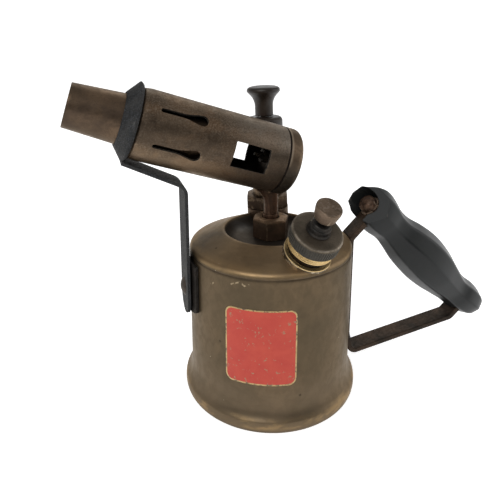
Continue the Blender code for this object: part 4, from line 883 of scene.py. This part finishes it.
tube_brass = aged_metal("tube_brass", (0.070, 0.048, 0.032), (0.150, 0.098, 0.060),
                        (0.36, 0.26, 0.16), (0.34, 0.5), 34.0, (0.53, 0.62))
dark_reflection_height = (burner @ Vector((0, 0, (NOZZLE_START + MOUTH) / 2))).z
# A painted dark reflection, as a belt along the middle of the nozzle's side at its axis height
over_coat(tube_brass, (0.045, 0.032, 0.024), by_level(tube_brass, dark_reflection_height - 0.0115, dark_reflection_height - 0.0035),
          by_level(tube_brass, dark_reflection_height + 0.0105, dark_reflection_height + 0.0030),
          between(blotches(tube_brass, 85.0), 0.75, 0.35))
over_coat(tube_brass, (0.045, 0.031, 0.021),
          between(blotches(tube_brass, 1300.0), 0.0, 0.45, 0.40, 0.0))
over_coat(tube_brass, (0.48, 0.37, 0.23), between(specks(tube_brass, 190.0, 0.05), 0.0, 0.8))
tube = finished("nozzle", lathe([
    (MOUTH_RADIUS - TUBE_WALL, MOUTH), (MOUTH_RADIUS, MOUTH),
    (NOZZLE_START_RADIUS, NOZZLE_START), (TUBE_RADIUS, SHROUD_FRONT),
    (TUBE_RADIUS, TUBE_INNER_END), (TUBE_RADIUS - TUBE_WALL, TUBE_INNER_END),
    (TUBE_RADIUS - TUBE_WALL, SHROUD_FRONT), (NOZZLE_START_RADIUS - TUBE_WALL, NOZZLE_START)]),
    burner, tube_brass, "sooted_brass", "flame_tube")
sooted_inside(tube, TUBE_INNER_END + 0.0004, MOUTH - 0.0002)


# Bracket: pressed steel in one piece, a coned collar round the nozzle and a strap down to the
# tank, where its round foot is riveted to a curved pad. The steel is black and finely pitted.
COLLAR_FRONT = 0.0877
COLLAR_RADIUS = 0.0217
COLLAR_SLANT = 0.0061
COLLAR_SHEET = 0.0024
STRAP_WIDTH = 0.0195
STRAP_SHEET = 0.0018
STRAP_BEND_DROP = 0.0111
STRAP_BEND = 0.006
STRAP_FOOT = 0.0525
PAD_SHEET = 0.002
RIVET_HEIGHT = 0.0685
RIVET_RADIUS = 0.0054
RIVET_CROWN = 0.0022
STEEL_BARE = (0.09, 0.088, 0.083)
PITTED = {"edges": (0.55, 0.66), "metallic": 0.2, "depth": 0.35, "glare": 0.1}


def bar_along(corners, bend, width, foot=None):
    """A ribbon along (x, z) corners with rounded bends, as wide as width across Y. Its end is
    rounded if it has a foot, which is the height of its tip."""
    shape = bmesh.new()
    line = [shape.verts.new((x, -width / 2, z)) for x, z in corners]
    for pair in zip(line, line[1:]):
        shape.edges.new(pair)
    for corner in line[1:-1]:
        first, second = [edge.other_vert(corner).co - corner.co for edge in corner.link_edges]
        half = first.angle(second) / 2
        if half < math.radians(85):
            bmesh.ops.bevel(shape, geom=[corner], offset=bend / math.tan(half),
                            offset_type="OFFSET", segments=12, profile=0.5, affect="VERTICES",
                            material=-1)
    swept(shape, bmesh.ops.extrude_edge_only(shape, edges=shape.edges[:]), (0, width, 0))
    if foot is not None:
        for point in shape.verts:
            rise = max(point.co.z - foot, 0) / (width / 2)
            if rise < 1:
                point.co.y *= math.sqrt(1 - (1 - rise) ** 2)
        bmesh.ops.remove_doubles(shape, verts=shape.verts, dist=0.000001)
    bmesh.ops.recalc_face_normals(shape, faces=shape.faces)
    return shape


def thick(piece, sheet, edge):
    """Give a ribbon its sheet thickness and worn edges."""
    wall = piece.modifiers.new("sheet", "SOLIDIFY")
    wall.thickness = sheet
    wall.offset = 0
    wall.use_even_offset = True
    eased(piece, edge, turn=50, segments=3)


black_steel = aged_metal("black_steel", (0.022, 0.023, 0.024), (0.042, 0.041, 0.040),
                         STEEL_BARE, (0.62, 0.82), 120.0, grain=1400.0, **PITTED)
over_coat(black_steel, (0.075, 0.080, 0.088),
          between(blotches(black_steel, 1500.0), 0.0, 0.55, 0.55))

cone = math.atan2(COLLAR_RADIUS - NOSE_BORE, COLLAR_SLANT)
collar_edge = COLLAR_FRONT - COLLAR_SLANT
back_in = COLLAR_SHEET * math.cos(cone)
back_down = COLLAR_SHEET * math.sin(cone)
finished("collar", lathe([
    (NOSE_BORE, COLLAR_FRONT), (COLLAR_RADIUS, collar_edge),
    (COLLAR_RADIUS - back_in, collar_edge - back_down),
    (NOSE_BORE, COLLAR_FRONT - back_down)], ease=0.0005), burner, black_steel, "black_steel")

strap_radius = TANK_RADIUS + 2 * SEAT + PAD_SHEET + STRAP_SHEET / 2
collar_foot = COLLAR_RADIUS - back_in / 2
strap_top = (-collar_edge * math.cos(BURNER_TILT) - collar_foot * math.sin(BURNER_TILT),
             BURNER_HEIGHT + collar_edge * math.sin(BURNER_TILT)
             - collar_foot * math.cos(BURNER_TILT))
strap_line = [strap_top, (-strap_radius, BURNER_HEIGHT - STRAP_BEND_DROP)]
strap_line += [(-strap_radius, STRAP_FOOT + STRAP_WIDTH / 2 * share)
               for share in (1.0, 0.72, 0.5, 0.32, 0.18, 0.08, 0.02, 0.0)]
strap = finished("strap", bar_along(strap_line, STRAP_BEND, STRAP_WIDTH, STRAP_FOOT), lamp,
                 black_steel, "black_steel", "burner_bracket")
thick(strap, STRAP_SHEET, 0.0004)
# The pad's steel is a darker copy of the black steel: painted shade beside the strap
pad = dress("bracket_pad", aged_metal("pad_steel_shaded", (0.010, 0.009, 0.008), (0.024, 0.020, 0.017),
                                      STEEL_BARE, (0.62, 0.82), 120.0, **PITTED))
joined = pad.modifiers.new("joined", "WELD")
joined.merge_threshold = 0.00001
eased(pad, 0.0004)

rivet_ball = (RIVET_RADIUS ** 2 + RIVET_CROWN ** 2) / (2 * RIVET_CROWN)
rivet_half = math.degrees(math.asin(RIVET_RADIUS / rivet_ball))
rivet_seat = strap_radius + STRAP_SHEET / 2
rivet_line = quarter((0, rivet_seat + RIVET_CROWN - rivet_ball), rivet_ball, 90,
                     90 - rivet_half, 10)
rivet_line += [(RIVET_RADIUS, rivet_seat - 0.0001), (0, rivet_seat - 0.0001)]
rivet_place = (lamp @ Matrix.Rotation(math.pi, 4, "Z")
               @ Matrix.Translation((0, 0, RIVET_HEIGHT)) @ Matrix.Rotation(math.pi / 2, 4, "Y"))
finished("rivet_head", lathe(rivet_line, steps=48), rivet_place, aged_metal(
    "rivet_steel", (0.024, 0.020, 0.018), (0.060, 0.046, 0.037), (0.17, 0.14, 0.11),
    (0.42, 0.6), 260.0, metallic=0.45, depth=0.3), "black_steel", "bracket_rivet")


# Filler neck: turned brass soldered on the shoulder, with a flange, a groove and a rolled
# thread. The cap keeps it clean, so its thread is still gold.
FILLER_ANGLE = math.radians(-78)
FILLER_LEAN = math.radians(29.5)
FILLER_CENTRE = 0.0355
FILLER_SINK = 0.0014
FLANGE_RADIUS = 0.0133
FLANGE_HEIGHT = 0.0038
GROOVE_TOP = 0.0079
GROOVE_DEPTH = 0.0015
BEAD_HEIGHT = 0.0064
BEAD_DEPTH = 0.0006
THREAD_RADIUS = 0.0127
THREAD_PITCH = 0.00127
THREAD_DEPTH = 0.00042
NECK_TOP = 0.0155
NECK_BORE = 0.0088
NECK_ROOT = -0.0078


def on_tank(reach, angle, height):
    """A place on the tank, by its reach from the axis, its angle round it and its height."""
    return lamp @ Matrix.Translation((reach * math.cos(angle), reach * math.sin(angle), height))


filler_seat = (RIM_HEIGHT - RIM_ROUND / 8 - FILLER_SINK
               - (FILLER_CENTRE - RIM_RADIUS) * math.tan(shoulder_slope))
filler = (on_tank(FILLER_CENTRE, FILLER_ANGLE, filler_seat)
          @ Matrix.Rotation(FILLER_ANGLE, 4, "Z") @ Matrix.Rotation(FILLER_LEAN, 4, "Y"))
by_neck = gauge(filler)
thread_root = THREAD_RADIUS - THREAD_DEPTH
groove = THREAD_RADIUS - GROOVE_DEPTH
bead = THREAD_RADIUS - BEAD_DEPTH
neck_line = [(NECK_BORE, NECK_TOP), (thread_root, NECK_TOP)]
level = NECK_TOP - THREAD_PITCH / 2
while level > GROOVE_TOP + THREAD_PITCH:
    neck_line += [(THREAD_RADIUS, level), (THREAD_RADIUS, level - THREAD_PITCH * 0.16),
                  (thread_root, level - THREAD_PITCH * 0.5),
                  (thread_root, level - THREAD_PITCH * 0.62)]
    level -= THREAD_PITCH
neck_line += [(THREAD_RADIUS, level), (THREAD_RADIUS, GROOVE_TOP), (groove, GROOVE_TOP),
              (groove, BEAD_HEIGHT + 0.0004), (bead, BEAD_HEIGHT + 0.0002),
              (bead, BEAD_HEIGHT - 0.0002), (groove, BEAD_HEIGHT - 0.0005),
              (groove, FLANGE_HEIGHT), (FLANGE_RADIUS - 0.0003, FLANGE_HEIGHT),
              (FLANGE_RADIUS, FLANGE_HEIGHT - 0.0006), (FLANGE_RADIUS, NECK_ROOT),
              (NECK_BORE, NECK_ROOT)]
thread_gold = aged_metal("thread_gold", (0.46, 0.31, 0.13), (0.72, 0.52, 0.25),
                         (0.90, 0.74, 0.46), (0.26, 0.42), 110.0, (0.51, 0.58),
                         metallic=0.85, tint=(1, 0.95, 0.85, 1))
neck_grime = by_neck(thread_gold, FLANGE_HEIGHT - 0.0002, FLANGE_HEIGHT - 0.0007)
over_coat(thread_gold, (0.40, 0.36, 0.30), between(neck_grime, 0.0, 0.75))
over_coat(thread_gold, (0.085, 0.062, 0.038), neck_grime,
          between(blotches(thread_gold, 190.0), 0.9, 0.0, 0.38, 0.58))
over_coat(thread_gold, (0.020, 0.013, 0.009),
          by_neck(thread_gold, FLANGE_HEIGHT - 0.0001, FLANGE_HEIGHT + 0.0001),
          by_neck(thread_gold, GROOVE_TOP + 0.0003, GROOVE_TOP),
          between(wear(thread_gold, 0.53, 0.58, 120.0), 1.0, 0.3))
# Painted shade in the thread roots and other hollows
over_coat(thread_gold, (0.085, 0.052, 0.024),
          between(wear(thread_gold, 0.47, 0.42, 0.0), 0.0, 0.6))
finished("threaded_neck", lathe(neck_line, ease=0.00012, steps=120), filler, thread_gold,
         "bright_brass", "filler_neck")


# Filler cap: a turned brass cap with a finely milled skirt and a leather washer under its roof.
# It screws up off the neck, and carries the air release with it.
CAP_RADIUS = 0.0139
CAP_TOP = 0.0203
CAP_FOOT = CAP_TOP - 0.0080
CAP_CEILING = CAP_TOP - 0.0026
CAP_BORE = THREAD_RADIUS + SEAT
CAP_TEETH = 66
TOOTH_DEPTH = 0.00028
STEM_HOLE = 0.0025
cap_line = [(STEM_HOLE, CAP_TOP), (CAP_RADIUS - 0.0032, CAP_TOP),
            (CAP_RADIUS - 0.0010, CAP_TOP - 0.0001), (CAP_RADIUS - 0.0002, CAP_TOP - 0.0006),
            (CAP_RADIUS, CAP_TOP - 0.0012), (CAP_RADIUS, CAP_TOP - 0.0021),
            (CAP_RADIUS, CAP_FOOT + 0.0012), (CAP_RADIUS, CAP_FOOT + 0.0006),
            (CAP_RADIUS - 0.0004, CAP_FOOT), (CAP_BORE, CAP_FOOT), (CAP_BORE, CAP_CEILING),
            (STEM_HOLE, CAP_CEILING)]
cap_shape = lathe(cap_line, ease=0, steps=CAP_TEETH * 4)
for point in cap_shape.verts:
    if (point.co.xy.length > CAP_RADIUS - 0.00005
            and CAP_FOOT + 0.0009 < point.co.z < CAP_TOP - 0.0016):
        turn = math.atan2(point.co.y, point.co.x) * CAP_TEETH
        point.co.xy *= 1 - TOOTH_DEPTH / CAP_RADIUS * (0.5 - 0.5 * math.cos(turn))
cap_brass = aged_metal("cap_brass", (0.052, 0.042, 0.031), (0.108, 0.087, 0.064),
                       (0.40, 0.34, 0.25), (0.34, 0.5), 80.0, (0.545, 0.61))
over_coat(cap_brass, (0.036, 0.036, 0.033),
          between(by_neck(cap_brass, CAP_TOP - 0.0010, CAP_TOP - 0.0022), 0.0, 0.78))
# A painted highlight: a light ring, of varying strength, on the rounded top edge of the cap
over_coat(cap_brass, (0.34, 0.29, 0.23), by_neck(cap_brass, CAP_TOP - 0.0009, CAP_TOP - 0.0006),
          by_neck(cap_brass, CAP_TOP - 0.00005, CAP_TOP - 0.0003),
          between(blotches(cap_brass, 260.0), 0.15, 0.60))
finished("cap", cap_shape, filler, cap_brass, "tank_brass", "filler_cap", body="filler_cap")
dress("filler_washer", woven("washer_leather", (0.05, 0.028, 0.016), (0.10, 0.058, 0.034), 260.0))


# Air release: a turned gland screwed in the cap, a brass needle through it, and a small brass
# knob on the needle that lifts and turns with it. The knob's top is scuffed by fingers.
GLAND_NECK = 0.0048
GLAND_WAIST = 0.0056
GLAND_FOOT = 0.0066
RELEASE_FOOT = CAP_TOP + SEAT
RELEASE_TOP = RELEASE_FOOT + 0.0058
KNOB_FOOT = RELEASE_TOP + 0.0034
KNOB_TOP = KNOB_FOOT + 0.0080
KNOB_RADIUS = 0.0068
KNOB_FOOT_RADIUS = 0.0058
KNOB_SOCKET = KNOB_FOOT + 0.004
NEEDLE_RADIUS = 0.0022
NEEDLE_TOP = KNOB_SOCKET - SEAT
NEEDLE_TIP = CAP_CEILING - 0.0045

gland_black = aged_metal("gland_black", (0.022, 0.021, 0.020), (0.060, 0.052, 0.044),
                         (0.16, 0.135, 0.10), (0.36, 0.55), 140.0, (0.53, 0.60))
finished("release_nut", lathe([
    (STEM_HOLE, RELEASE_TOP), (GLAND_NECK - 0.0004, RELEASE_TOP),
    (GLAND_NECK, RELEASE_TOP - 0.0004), (GLAND_NECK, RELEASE_TOP - 0.0020),
    (GLAND_WAIST, RELEASE_TOP - 0.0022), (GLAND_WAIST + 0.0003, RELEASE_TOP - 0.0026),
    (GLAND_WAIST + 0.0003, RELEASE_FOOT + 0.0011), (GLAND_FOOT, RELEASE_FOOT + 0.0002),
    (GLAND_FOOT, RELEASE_FOOT), (STEM_HOLE, RELEASE_FOOT)], ease=0.00012), filler, gland_black,
    "sooted_brass", "release_gland", body="filler_cap")
finished("needle", lathe([
    (0, NEEDLE_TOP), (NEEDLE_RADIUS, NEEDLE_TOP), (NEEDLE_RADIUS, NEEDLE_TIP + NEEDLE_RADIUS),
    (0, NEEDLE_TIP)], steps=48), filler, gland_black, "bright_brass", "release_spindle",
    body="release_spindle")
knob_brass = aged_metal("knob_brass", (0.090, 0.064, 0.045), (0.165, 0.118, 0.083),
                        (0.42, 0.34, 0.25), (0.36, 0.52), 120.0, (0.525, 0.59))
over_coat(knob_brass, (0.30, 0.24, 0.185),
          by_neck(knob_brass, KNOB_TOP - 0.0003, KNOB_TOP - 0.0001),
          between(blotches(knob_brass, 520.0), 0.0, 0.4, 0.50))
finished("release_grip", lathe([
    (0, KNOB_TOP), (KNOB_RADIUS - 0.0005, KNOB_TOP), (KNOB_RADIUS, KNOB_TOP - 0.0005),
    (KNOB_RADIUS, KNOB_TOP - 0.0020), (KNOB_FOOT_RADIUS, KNOB_FOOT + 0.0005),
    (KNOB_FOOT_RADIUS - 0.0006, KNOB_FOOT), (STEM_HOLE, KNOB_FOOT), (STEM_HOLE, KNOB_SOCKET),
    (0, KNOB_SOCKET)], steps=96), filler, knob_brass, "tank_brass", "release_knob",
    body="release_knob")


# Pump: a brass barrel through the shoulder, behind the burner, held by a lock nut on a soldered
# neck. Its screwed cap and its knob are moulded, and the plunger slides out with the knob.
PUMP_ANGLE = math.radians(73.2)
PUMP_CENTRE = 0.0311
PUMP_LEAN = math.radians(2.5)
PUMP_LEAN_TURN = math.radians(-20)
PUMP_SEAT_DROP = 0.0017
PUMP_NECK_RADIUS = 0.0132
PUMP_NECK_TOP = 0.0058
PUMP_NECK_ROOT = -0.0085
LOCK_FLATS = 0.0147 * math.sqrt(3)
LOCK_FOOT = PUMP_NECK_TOP + SEAT
LOCK_HEIGHT = 0.0076
LOCK_CHAMFER = 0.0013
PUMP_RADIUS = 0.0092
PUMP_WALL = 0.0011
PUMP_TOP = 0.0605
PUMP_FOOT = -0.0540
PUMP_CAP_RADIUS = 0.0114
PUMP_CAP_TOP = PUMP_TOP + SEAT + 0.0030
PUMP_CAP_FOOT = PUMP_CAP_TOP - 0.0098
PUMP_CAP_ROUND = 0.0030
ROD_RADIUS = 0.0022
ROD_FOOT = -0.0490
PUMP_KNOB_FOOT = PUMP_CAP_TOP + 0.0006
PUMP_KNOB_HEIGHT = 0.0186
PUMP_KNOB_RADIUS = 0.0104
PUMP_KNOB_SOCKET = PUMP_KNOB_FOOT + 0.008
PUMP_STEM_RADIUS = 0.0057

pump = (on_tank(PUMP_CENTRE, PUMP_ANGLE, RIM_HEIGHT - PUMP_SEAT_DROP)
        @ Matrix.Rotation(PUMP_LEAN_TURN, 4, "Z") @ Matrix.Rotation(-PUMP_LEAN, 4, "Y"))
pump_bore = PUMP_RADIUS + SEAT
rod_hole = ROD_RADIUS + SEAT
pump_brass = aged_metal("pump_brass", (0.070, 0.050, 0.034), (0.155, 0.105, 0.064),
                        (0.34, 0.25, 0.14), (0.34, 0.55), 55.0, (0.515, 0.58),
                        stretch=(1, 1, 0.6))
lock_brown = aged_metal("lock_brown", (0.042, 0.027, 0.018), (0.105, 0.066, 0.041),
                        (0.14, 0.10, 0.065), (0.36, 0.55), 85.0, (0.54, 0.64))
finished("pump_seat", lathe([
    (pump_bore, PUMP_NECK_TOP), (PUMP_NECK_RADIUS - 0.0006, PUMP_NECK_TOP),
    (PUMP_NECK_RADIUS, PUMP_NECK_TOP - 0.0006), (PUMP_NECK_RADIUS, PUMP_NECK_ROOT),
    (pump_bore, PUMP_NECK_ROOT)]), pump, lock_brown, "tank_brass", "pump_neck")
lock_nut = finished("lock_nut", hexagon_nut(
    LOCK_FLATS, LOCK_FOOT, LOCK_FOOT + LOCK_HEIGHT, pump_bore, LOCK_CHAMFER, math.pi / 6),
    pump, lock_brown, "tank_brass", "pump_lock_nut")
eased(lock_nut, 0.0003)
finished("pump_tube", lathe([
    (PUMP_RADIUS - PUMP_WALL, PUMP_TOP), (PUMP_RADIUS, PUMP_TOP), (PUMP_RADIUS, PUMP_FOOT),
    (PUMP_RADIUS - PUMP_WALL, PUMP_FOOT)], steps=96), pump, pump_brass, "tank_brass",
    "pump_barrel")


def moulded(name, dark, light, rough, scale=60.0, share=0.006, shine=0.3):
    """Moulded black plastic: satin, faintly clouded, dusty and scratched."""
    made = blank(name, Specular_IOR_Level=shine)
    cloud = blotches(made, scale)
    shade = mixed(cloud, dark, light)
    shade = mixed(between(wear(made, 0.53, 0.64, 500.0), 0.0, 0.4), shade, (0.10, 0.085, 0.07))
    shade = mixed(between(specks(made, 260.0, share), 0.0, 0.5), shade, (0.20, 0.19, 0.18))
    return surface(made, shade, between(cloud, *rough), pores(made, 1100.0, 2.0), 0.08)


knob_brown = moulded("knob_brown", (0.010, 0.007, 0.005), (0.026, 0.017, 0.011), (0.30, 0.46))
pump_cap_line = [(rod_hole, PUMP_CAP_TOP)]
pump_cap_line += quarter((PUMP_CAP_RADIUS - PUMP_CAP_ROUND, PUMP_CAP_TOP - PUMP_CAP_ROUND),
                         PUMP_CAP_ROUND, 90, 0, 10)
pump_cap_line += [(PUMP_CAP_RADIUS, PUMP_CAP_FOOT), (pump_bore, PUMP_CAP_FOOT),
                  (pump_bore, PUMP_TOP + SEAT), (rod_hole, PUMP_TOP + SEAT)]
finished("pump_top", lathe(pump_cap_line), pump, knob_brown, "bakelite", "pump_cap")
knob_middle = PUMP_KNOB_FOOT + PUMP_KNOB_HEIGHT * 0.83
knob_crown = PUMP_KNOB_FOOT + PUMP_KNOB_HEIGHT
knob_line = [(0, knob_crown)]
knob_line += stretch_of((0, knob_crown), (PUMP_KNOB_RADIUS * 0.7, knob_crown),
                        (PUMP_KNOB_RADIUS, knob_crown - 0.0004),
                        (PUMP_KNOB_RADIUS, knob_middle))
knob_line += stretch_of((PUMP_KNOB_RADIUS, knob_middle), (PUMP_KNOB_RADIUS, knob_middle - 0.0014),
                        (PUMP_STEM_RADIUS + 0.0004, knob_middle - 0.0030),
                        (PUMP_STEM_RADIUS, knob_middle - 0.0088))
knob_line += [(PUMP_STEM_RADIUS, PUMP_KNOB_FOOT), (rod_hole, PUMP_KNOB_FOOT),
              (rod_hole, PUMP_KNOB_SOCKET), (0, PUMP_KNOB_SOCKET)]
finished("pump_handle", lathe(knob_line), pump, knob_brown, "bakelite", "pump_knob",
         body="pump_plunger")
rod_steel = aged_metal("rod_steel", (0.16, 0.155, 0.15), (0.34, 0.33, 0.31), (0.5, 0.5, 0.48),
                       (0.22, 0.4), 200.0, metallic=0.9, stretch=(1, 1, 0.15))
rod_top = PUMP_KNOB_SOCKET - SEAT
finished("rod", lathe([(0, rod_top), (ROD_RADIUS, rod_top), (ROD_RADIUS, ROD_FOOT),
                       (0, ROD_FOOT)], steps=48), pump, rod_steel, "bright_brass", "pump_rod",
         body="pump_plunger")
for node in ("pump_plate", "pump_nut", "valve_body", "valve_plug"):
    dress(node, dull_brass)
dress("pump_cup", woven("cup_leather", (0.06, 0.034, 0.019), (0.12, 0.07, 0.04), 300.0))
dress("valve_disc", woven("valve_cork", (0.16, 0.095, 0.05), (0.34, 0.22, 0.125), 420.0))


# Valve spring: a coil of thin steel wire under the cork disc of the check valve. The disc
# squashes it by its own travel when the pump drives air past.
WIRE_RADIUS = 0.0003
COIL_RADIUS = 0.0027
COIL_TURNS = 5
COIL_STEPS = COIL_TURNS * 24
COIL_LOW = PUMP_FOOT - 0.0074
COIL_HIGH = PUMP_FOOT - 0.0014
coil = bmesh.new()
section = bmesh.ops.create_circle(
    coil, segments=10, radius=WIRE_RADIUS, matrix=Matrix.Translation((COIL_RADIUS, 0, COIL_LOW))
    @ Matrix.Rotation(math.pi / 2, 4, "X"))["verts"]
bmesh.ops.spin(coil, geom=section + coil.edges[:], axis=(0, 0, 1), steps=COIL_STEPS,
               angle=math.tau * COIL_TURNS, dvec=(0, 0, (COIL_HIGH - COIL_LOW) / COIL_STEPS))
bmesh.ops.holes_fill(coil, edges=[edge for edge in coil.edges if edge.is_boundary])
bmesh.ops.recalc_face_normals(coil, faces=coil.faces)
spring = finished("check_spring", coil, pump, rod_steel, "brown_steel", "valve_spring")
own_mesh(spring)


# Handle bracket: one flat steel bar that runs up the tank's wall and is bent out at both ends
# to hold the grip. It is painted brown-black and worn through to rust along its edges.
HANDLE_TURN = math.radians(-4)
GRIP_STANDOFF = 0.0087
GRIP_RISE = 0.0152
GRIP_SLOPE = math.radians(134.2)
GRIP_LENGTH = 0.1261
RECESS_DEPTH = 0.0149
SLOT_DEPTH = GRIP_LENGTH - 0.0176
BAR_WIDTH = 0.012
BAR_SHEET = 0.0032
BAR_BEND = 0.0042
BAR_FOOT_GAP = 0.0007
BAR_LOW = 0.0097
BAR_LOW_SLOPE = math.radians(11.7)
BAR_KICK = 0.024
BAR_OVERHANG = 0.0045

handle = lamp @ Matrix.Rotation(HANDLE_TURN, 4, "Z")
grip_top = Vector((TANK_RADIUS + GRIP_STANDOFF, RIM_HEIGHT + GRIP_RISE))
down_grip = Vector((math.sin(GRIP_SLOPE), math.cos(GRIP_SLOPE)))
off_grip = Vector((math.cos(GRIP_SLOPE), -math.sin(GRIP_SLOPE)))
bar_x = TANK_RADIUS + SEAT + BAR_SHEET / 2
top_bar = RECESS_DEPTH - SEAT - BAR_SHEET / 2
top_hole = grip_top + down_grip * top_bar
end_hole = grip_top + down_grip * (SLOT_DEPTH + SEAT + BAR_SHEET / 2)
high_corner = top_hole + off_grip * ((bar_x - top_hole.x) / off_grip.x)
low_corner = Vector((FOOT_RADIUS + BAR_FOOT_GAP, BAR_LOW))
low_arm = Vector((math.cos(BAR_LOW_SLOPE), math.sin(BAR_LOW_SLOPE)))
span = end_hole - low_corner
run = span.cross(off_grip) / low_arm.cross(off_grip)
brown_steel = aged_metal("brown_steel", (0.016, 0.012, 0.009), (0.060, 0.037, 0.024),
                         (0.20, 0.12, 0.06), (0.42, 0.62), 70.0, (0.535, 0.62), metallic=0.5,
                         depth=0.3, grain=1200.0)
handle_bar = finished("handle_bar", bar_along(
    [top_hole - off_grip * BAR_OVERHANG, high_corner, (bar_x, BAR_KICK), low_corner,
     low_corner + low_arm * run, end_hole - off_grip * BAR_OVERHANG], BAR_BEND, BAR_WIDTH),
    handle, brown_steel, "brown_steel", "handle_bracket")
thick(handle_bar, BAR_SHEET, 0.0006)


# Grip: moulded in black plastic with eight soft facets, swelling in the palm. Its top is a hood
# over the upper bar and its nut, and the lower bar sits in a slot near its tip.
GRIP_RADIUS = 0.0161
GRIP_SIDES = 96
GRIP_FACET = math.pi / 4
FACET_CLIP = 1.012
RECESS_RADIUS = 0.008
GRIP_BORE = 0.003
HOOD_START = Vector((0, 0.005, 0))
HOOD_NORMAL = Vector((0, -0.62, -0.78))
CUT_PAST = 0.002
# The swells of the grip: how far along it, how wide, and how far its middle shifts
GRIP_SWELLS = ((0.0, 0.54, -0.03), (0.012, 0.58, -0.03), (0.03, 0.66, -0.01), (0.05, 0.75, 0.0),
               (0.09, 0.83, 0.04), (0.13, 0.85, 0.04), (0.18, 0.80, 0.02), (0.23, 0.725, 0.0),
               (0.29, 0.76, -0.03), (0.37, 0.90, -0.02), (0.45, 0.98, 0.0), (0.53, 1.0, 0.0),
               (0.62, 0.93, -0.01), (0.70, 0.80, -0.03), (0.77, 0.69, -0.04), (0.81, 0.675, -0.03),
               (0.85, 0.69, 0.0), (0.89, 0.67, 0.03), (0.935, 0.60, 0.06), (0.97, 0.455, 0.08),
               (0.99, 0.28, 0.08), (1.0, 0.12, 0.08))
grip = (handle @ Matrix.Translation((grip_top.x, 0, grip_top.y))
        @ Matrix.Rotation(GRIP_SLOPE, 4, "Y"))


def grip_ring(along_share, out, shift):
    """A section of the grip: an octagon with its corners clipped by a circle."""
    ring = []
    for number in range(GRIP_SIDES):
        turn = math.tau * number / GRIP_SIDES
        flat = math.cos(GRIP_FACET / 2) / math.cos(turn % GRIP_FACET - GRIP_FACET / 2)
        reach = GRIP_RADIUS * out * min(flat * FACET_CLIP, 1.0) * FACET_CLIP
        ring.append((reach * math.cos(turn) - GRIP_RADIUS * shift, reach * math.sin(turn),
                     GRIP_LENGTH * along_share))
    return ring


def drill(radius, low, high, steps):
    """A round bar to cut a hole with."""
    return lathe([(0, high), (radius, high), (radius, low), (0, low)], ease=0, steps=steps)


def block(low, high):
    """A square bar to cut a slot with, between two corners."""
    size, middle = Vector(high) - Vector(low), (Vector(high) + Vector(low)) / 2
    made = bmesh.new()
    bmesh.ops.create_cube(made, size=1, matrix=Matrix.LocRotScale(middle, None, size))
    return made


swells = [Vector(swell) for swell in GRIP_SWELLS]
grip_rings = [grip_ring(*swells[0])]
for number, (here, after) in enumerate(zip(swells, swells[1:])):
    lean = (after - swells[max(number - 1, 0)]) / 6
    reach = (swells[min(number + 2, len(swells) - 1)] - here) / 6
    for swell in interpolate_bezier(here, here + lean, after - reach, after, 5)[1:]:
        grip_rings.append(grip_ring(*swell))
half_slot = BAR_WIDTH / 2 + SEAT
hood_cut = bmesh.new()
bmesh.ops.create_cube(hood_cut, size=0.06, matrix=Matrix.Translation(HOOD_START)
                      @ HOOD_NORMAL.to_track_quat("Z", "Y").to_matrix().to_4x4()
                      @ Matrix.Translation((0, 0, 0.03)))
cuts = [drill(RECESS_RADIUS, -CUT_PAST, RECESS_DEPTH, 96),
        block((0, -half_slot, -CUT_PAST), (GRIP_RADIUS * 1.2, half_slot, RECESS_DEPTH)),
        block((-BAR_OVERHANG - SEAT, -half_slot, SLOT_DEPTH),
              (GRIP_RADIUS * 1.2, half_slot, SLOT_DEPTH + BAR_SHEET + 2 * SEAT)),
        hood_cut, drill(GRIP_BORE, RECESS_DEPTH - 0.001, SLOT_DEPTH + 0.001, 48)]
grip_black = moulded("grip_black", (0.006, 0.0068, 0.0068), (0.012, 0.013, 0.0128),
                     (0.33, 0.42), 24.0, 0.004, 0.24)
handle_grip = finished("grip", carved(ringed(grip_rings), cuts), grip, grip_black, "bakelite",
                       "handle_grip")
eased(handle_grip, 0.0005, turn=48, segments=3)


# Grip fastening: a long bolt runs the length of the grip from a threaded insert at its tip, and
# a domed steel nut on a washer draws the hood down on the upper bar. The nut is browned.
TOP_NUT_RADIUS = 0.0055
TOP_NUT_HEIGHT = 0.0062
TOP_NUT_WALL = TOP_NUT_HEIGHT * 0.4
TOP_NUT_BORE = 0.0028
TOP_NUT_BORE_DEPTH = 0.0042
WASHER_SHEET = 0.001
nut_seat = top_bar - BAR_SHEET / 2 - WASHER_SHEET - 2 * SEAT
nut_wall = nut_seat - TOP_NUT_WALL
dome = TOP_NUT_HEIGHT - TOP_NUT_WALL
top_nut_line = [(0, nut_seat - TOP_NUT_BORE_DEPTH), (TOP_NUT_BORE, nut_seat - TOP_NUT_BORE_DEPTH),
                (TOP_NUT_BORE, nut_seat), (TOP_NUT_RADIUS, nut_seat), (TOP_NUT_RADIUS, nut_wall)]
top_nut_line += [(TOP_NUT_RADIUS * math.cos(turn), nut_wall - dome * math.sin(turn))
                 for turn in [math.pi / 2 * number / 9 for number in range(1, 9)]]
nut_brown = aged_metal("nut_brown", (0.030, 0.016, 0.011), (0.115, 0.066, 0.042),
                       (0.36, 0.27, 0.20), (0.34, 0.6), 330.0, metallic=0.6, depth=0.6,
                       grain=700.0)
finished("dome_nut", lathe([*top_nut_line, (0, nut_wall - dome)], steps=64), grip, nut_brown,
         "brown_steel", "grip_nut")
dress("grip_washer", nut_brown)
dress("grip_bolt", rod_steel)
dress("grip_insert", dull_brass)


# Last: the box of the finished lamp, taken as the imported one's was at the start. The finished
# lamp lies within the imported one's box, but for a tenth of a millimetre.
low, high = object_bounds()
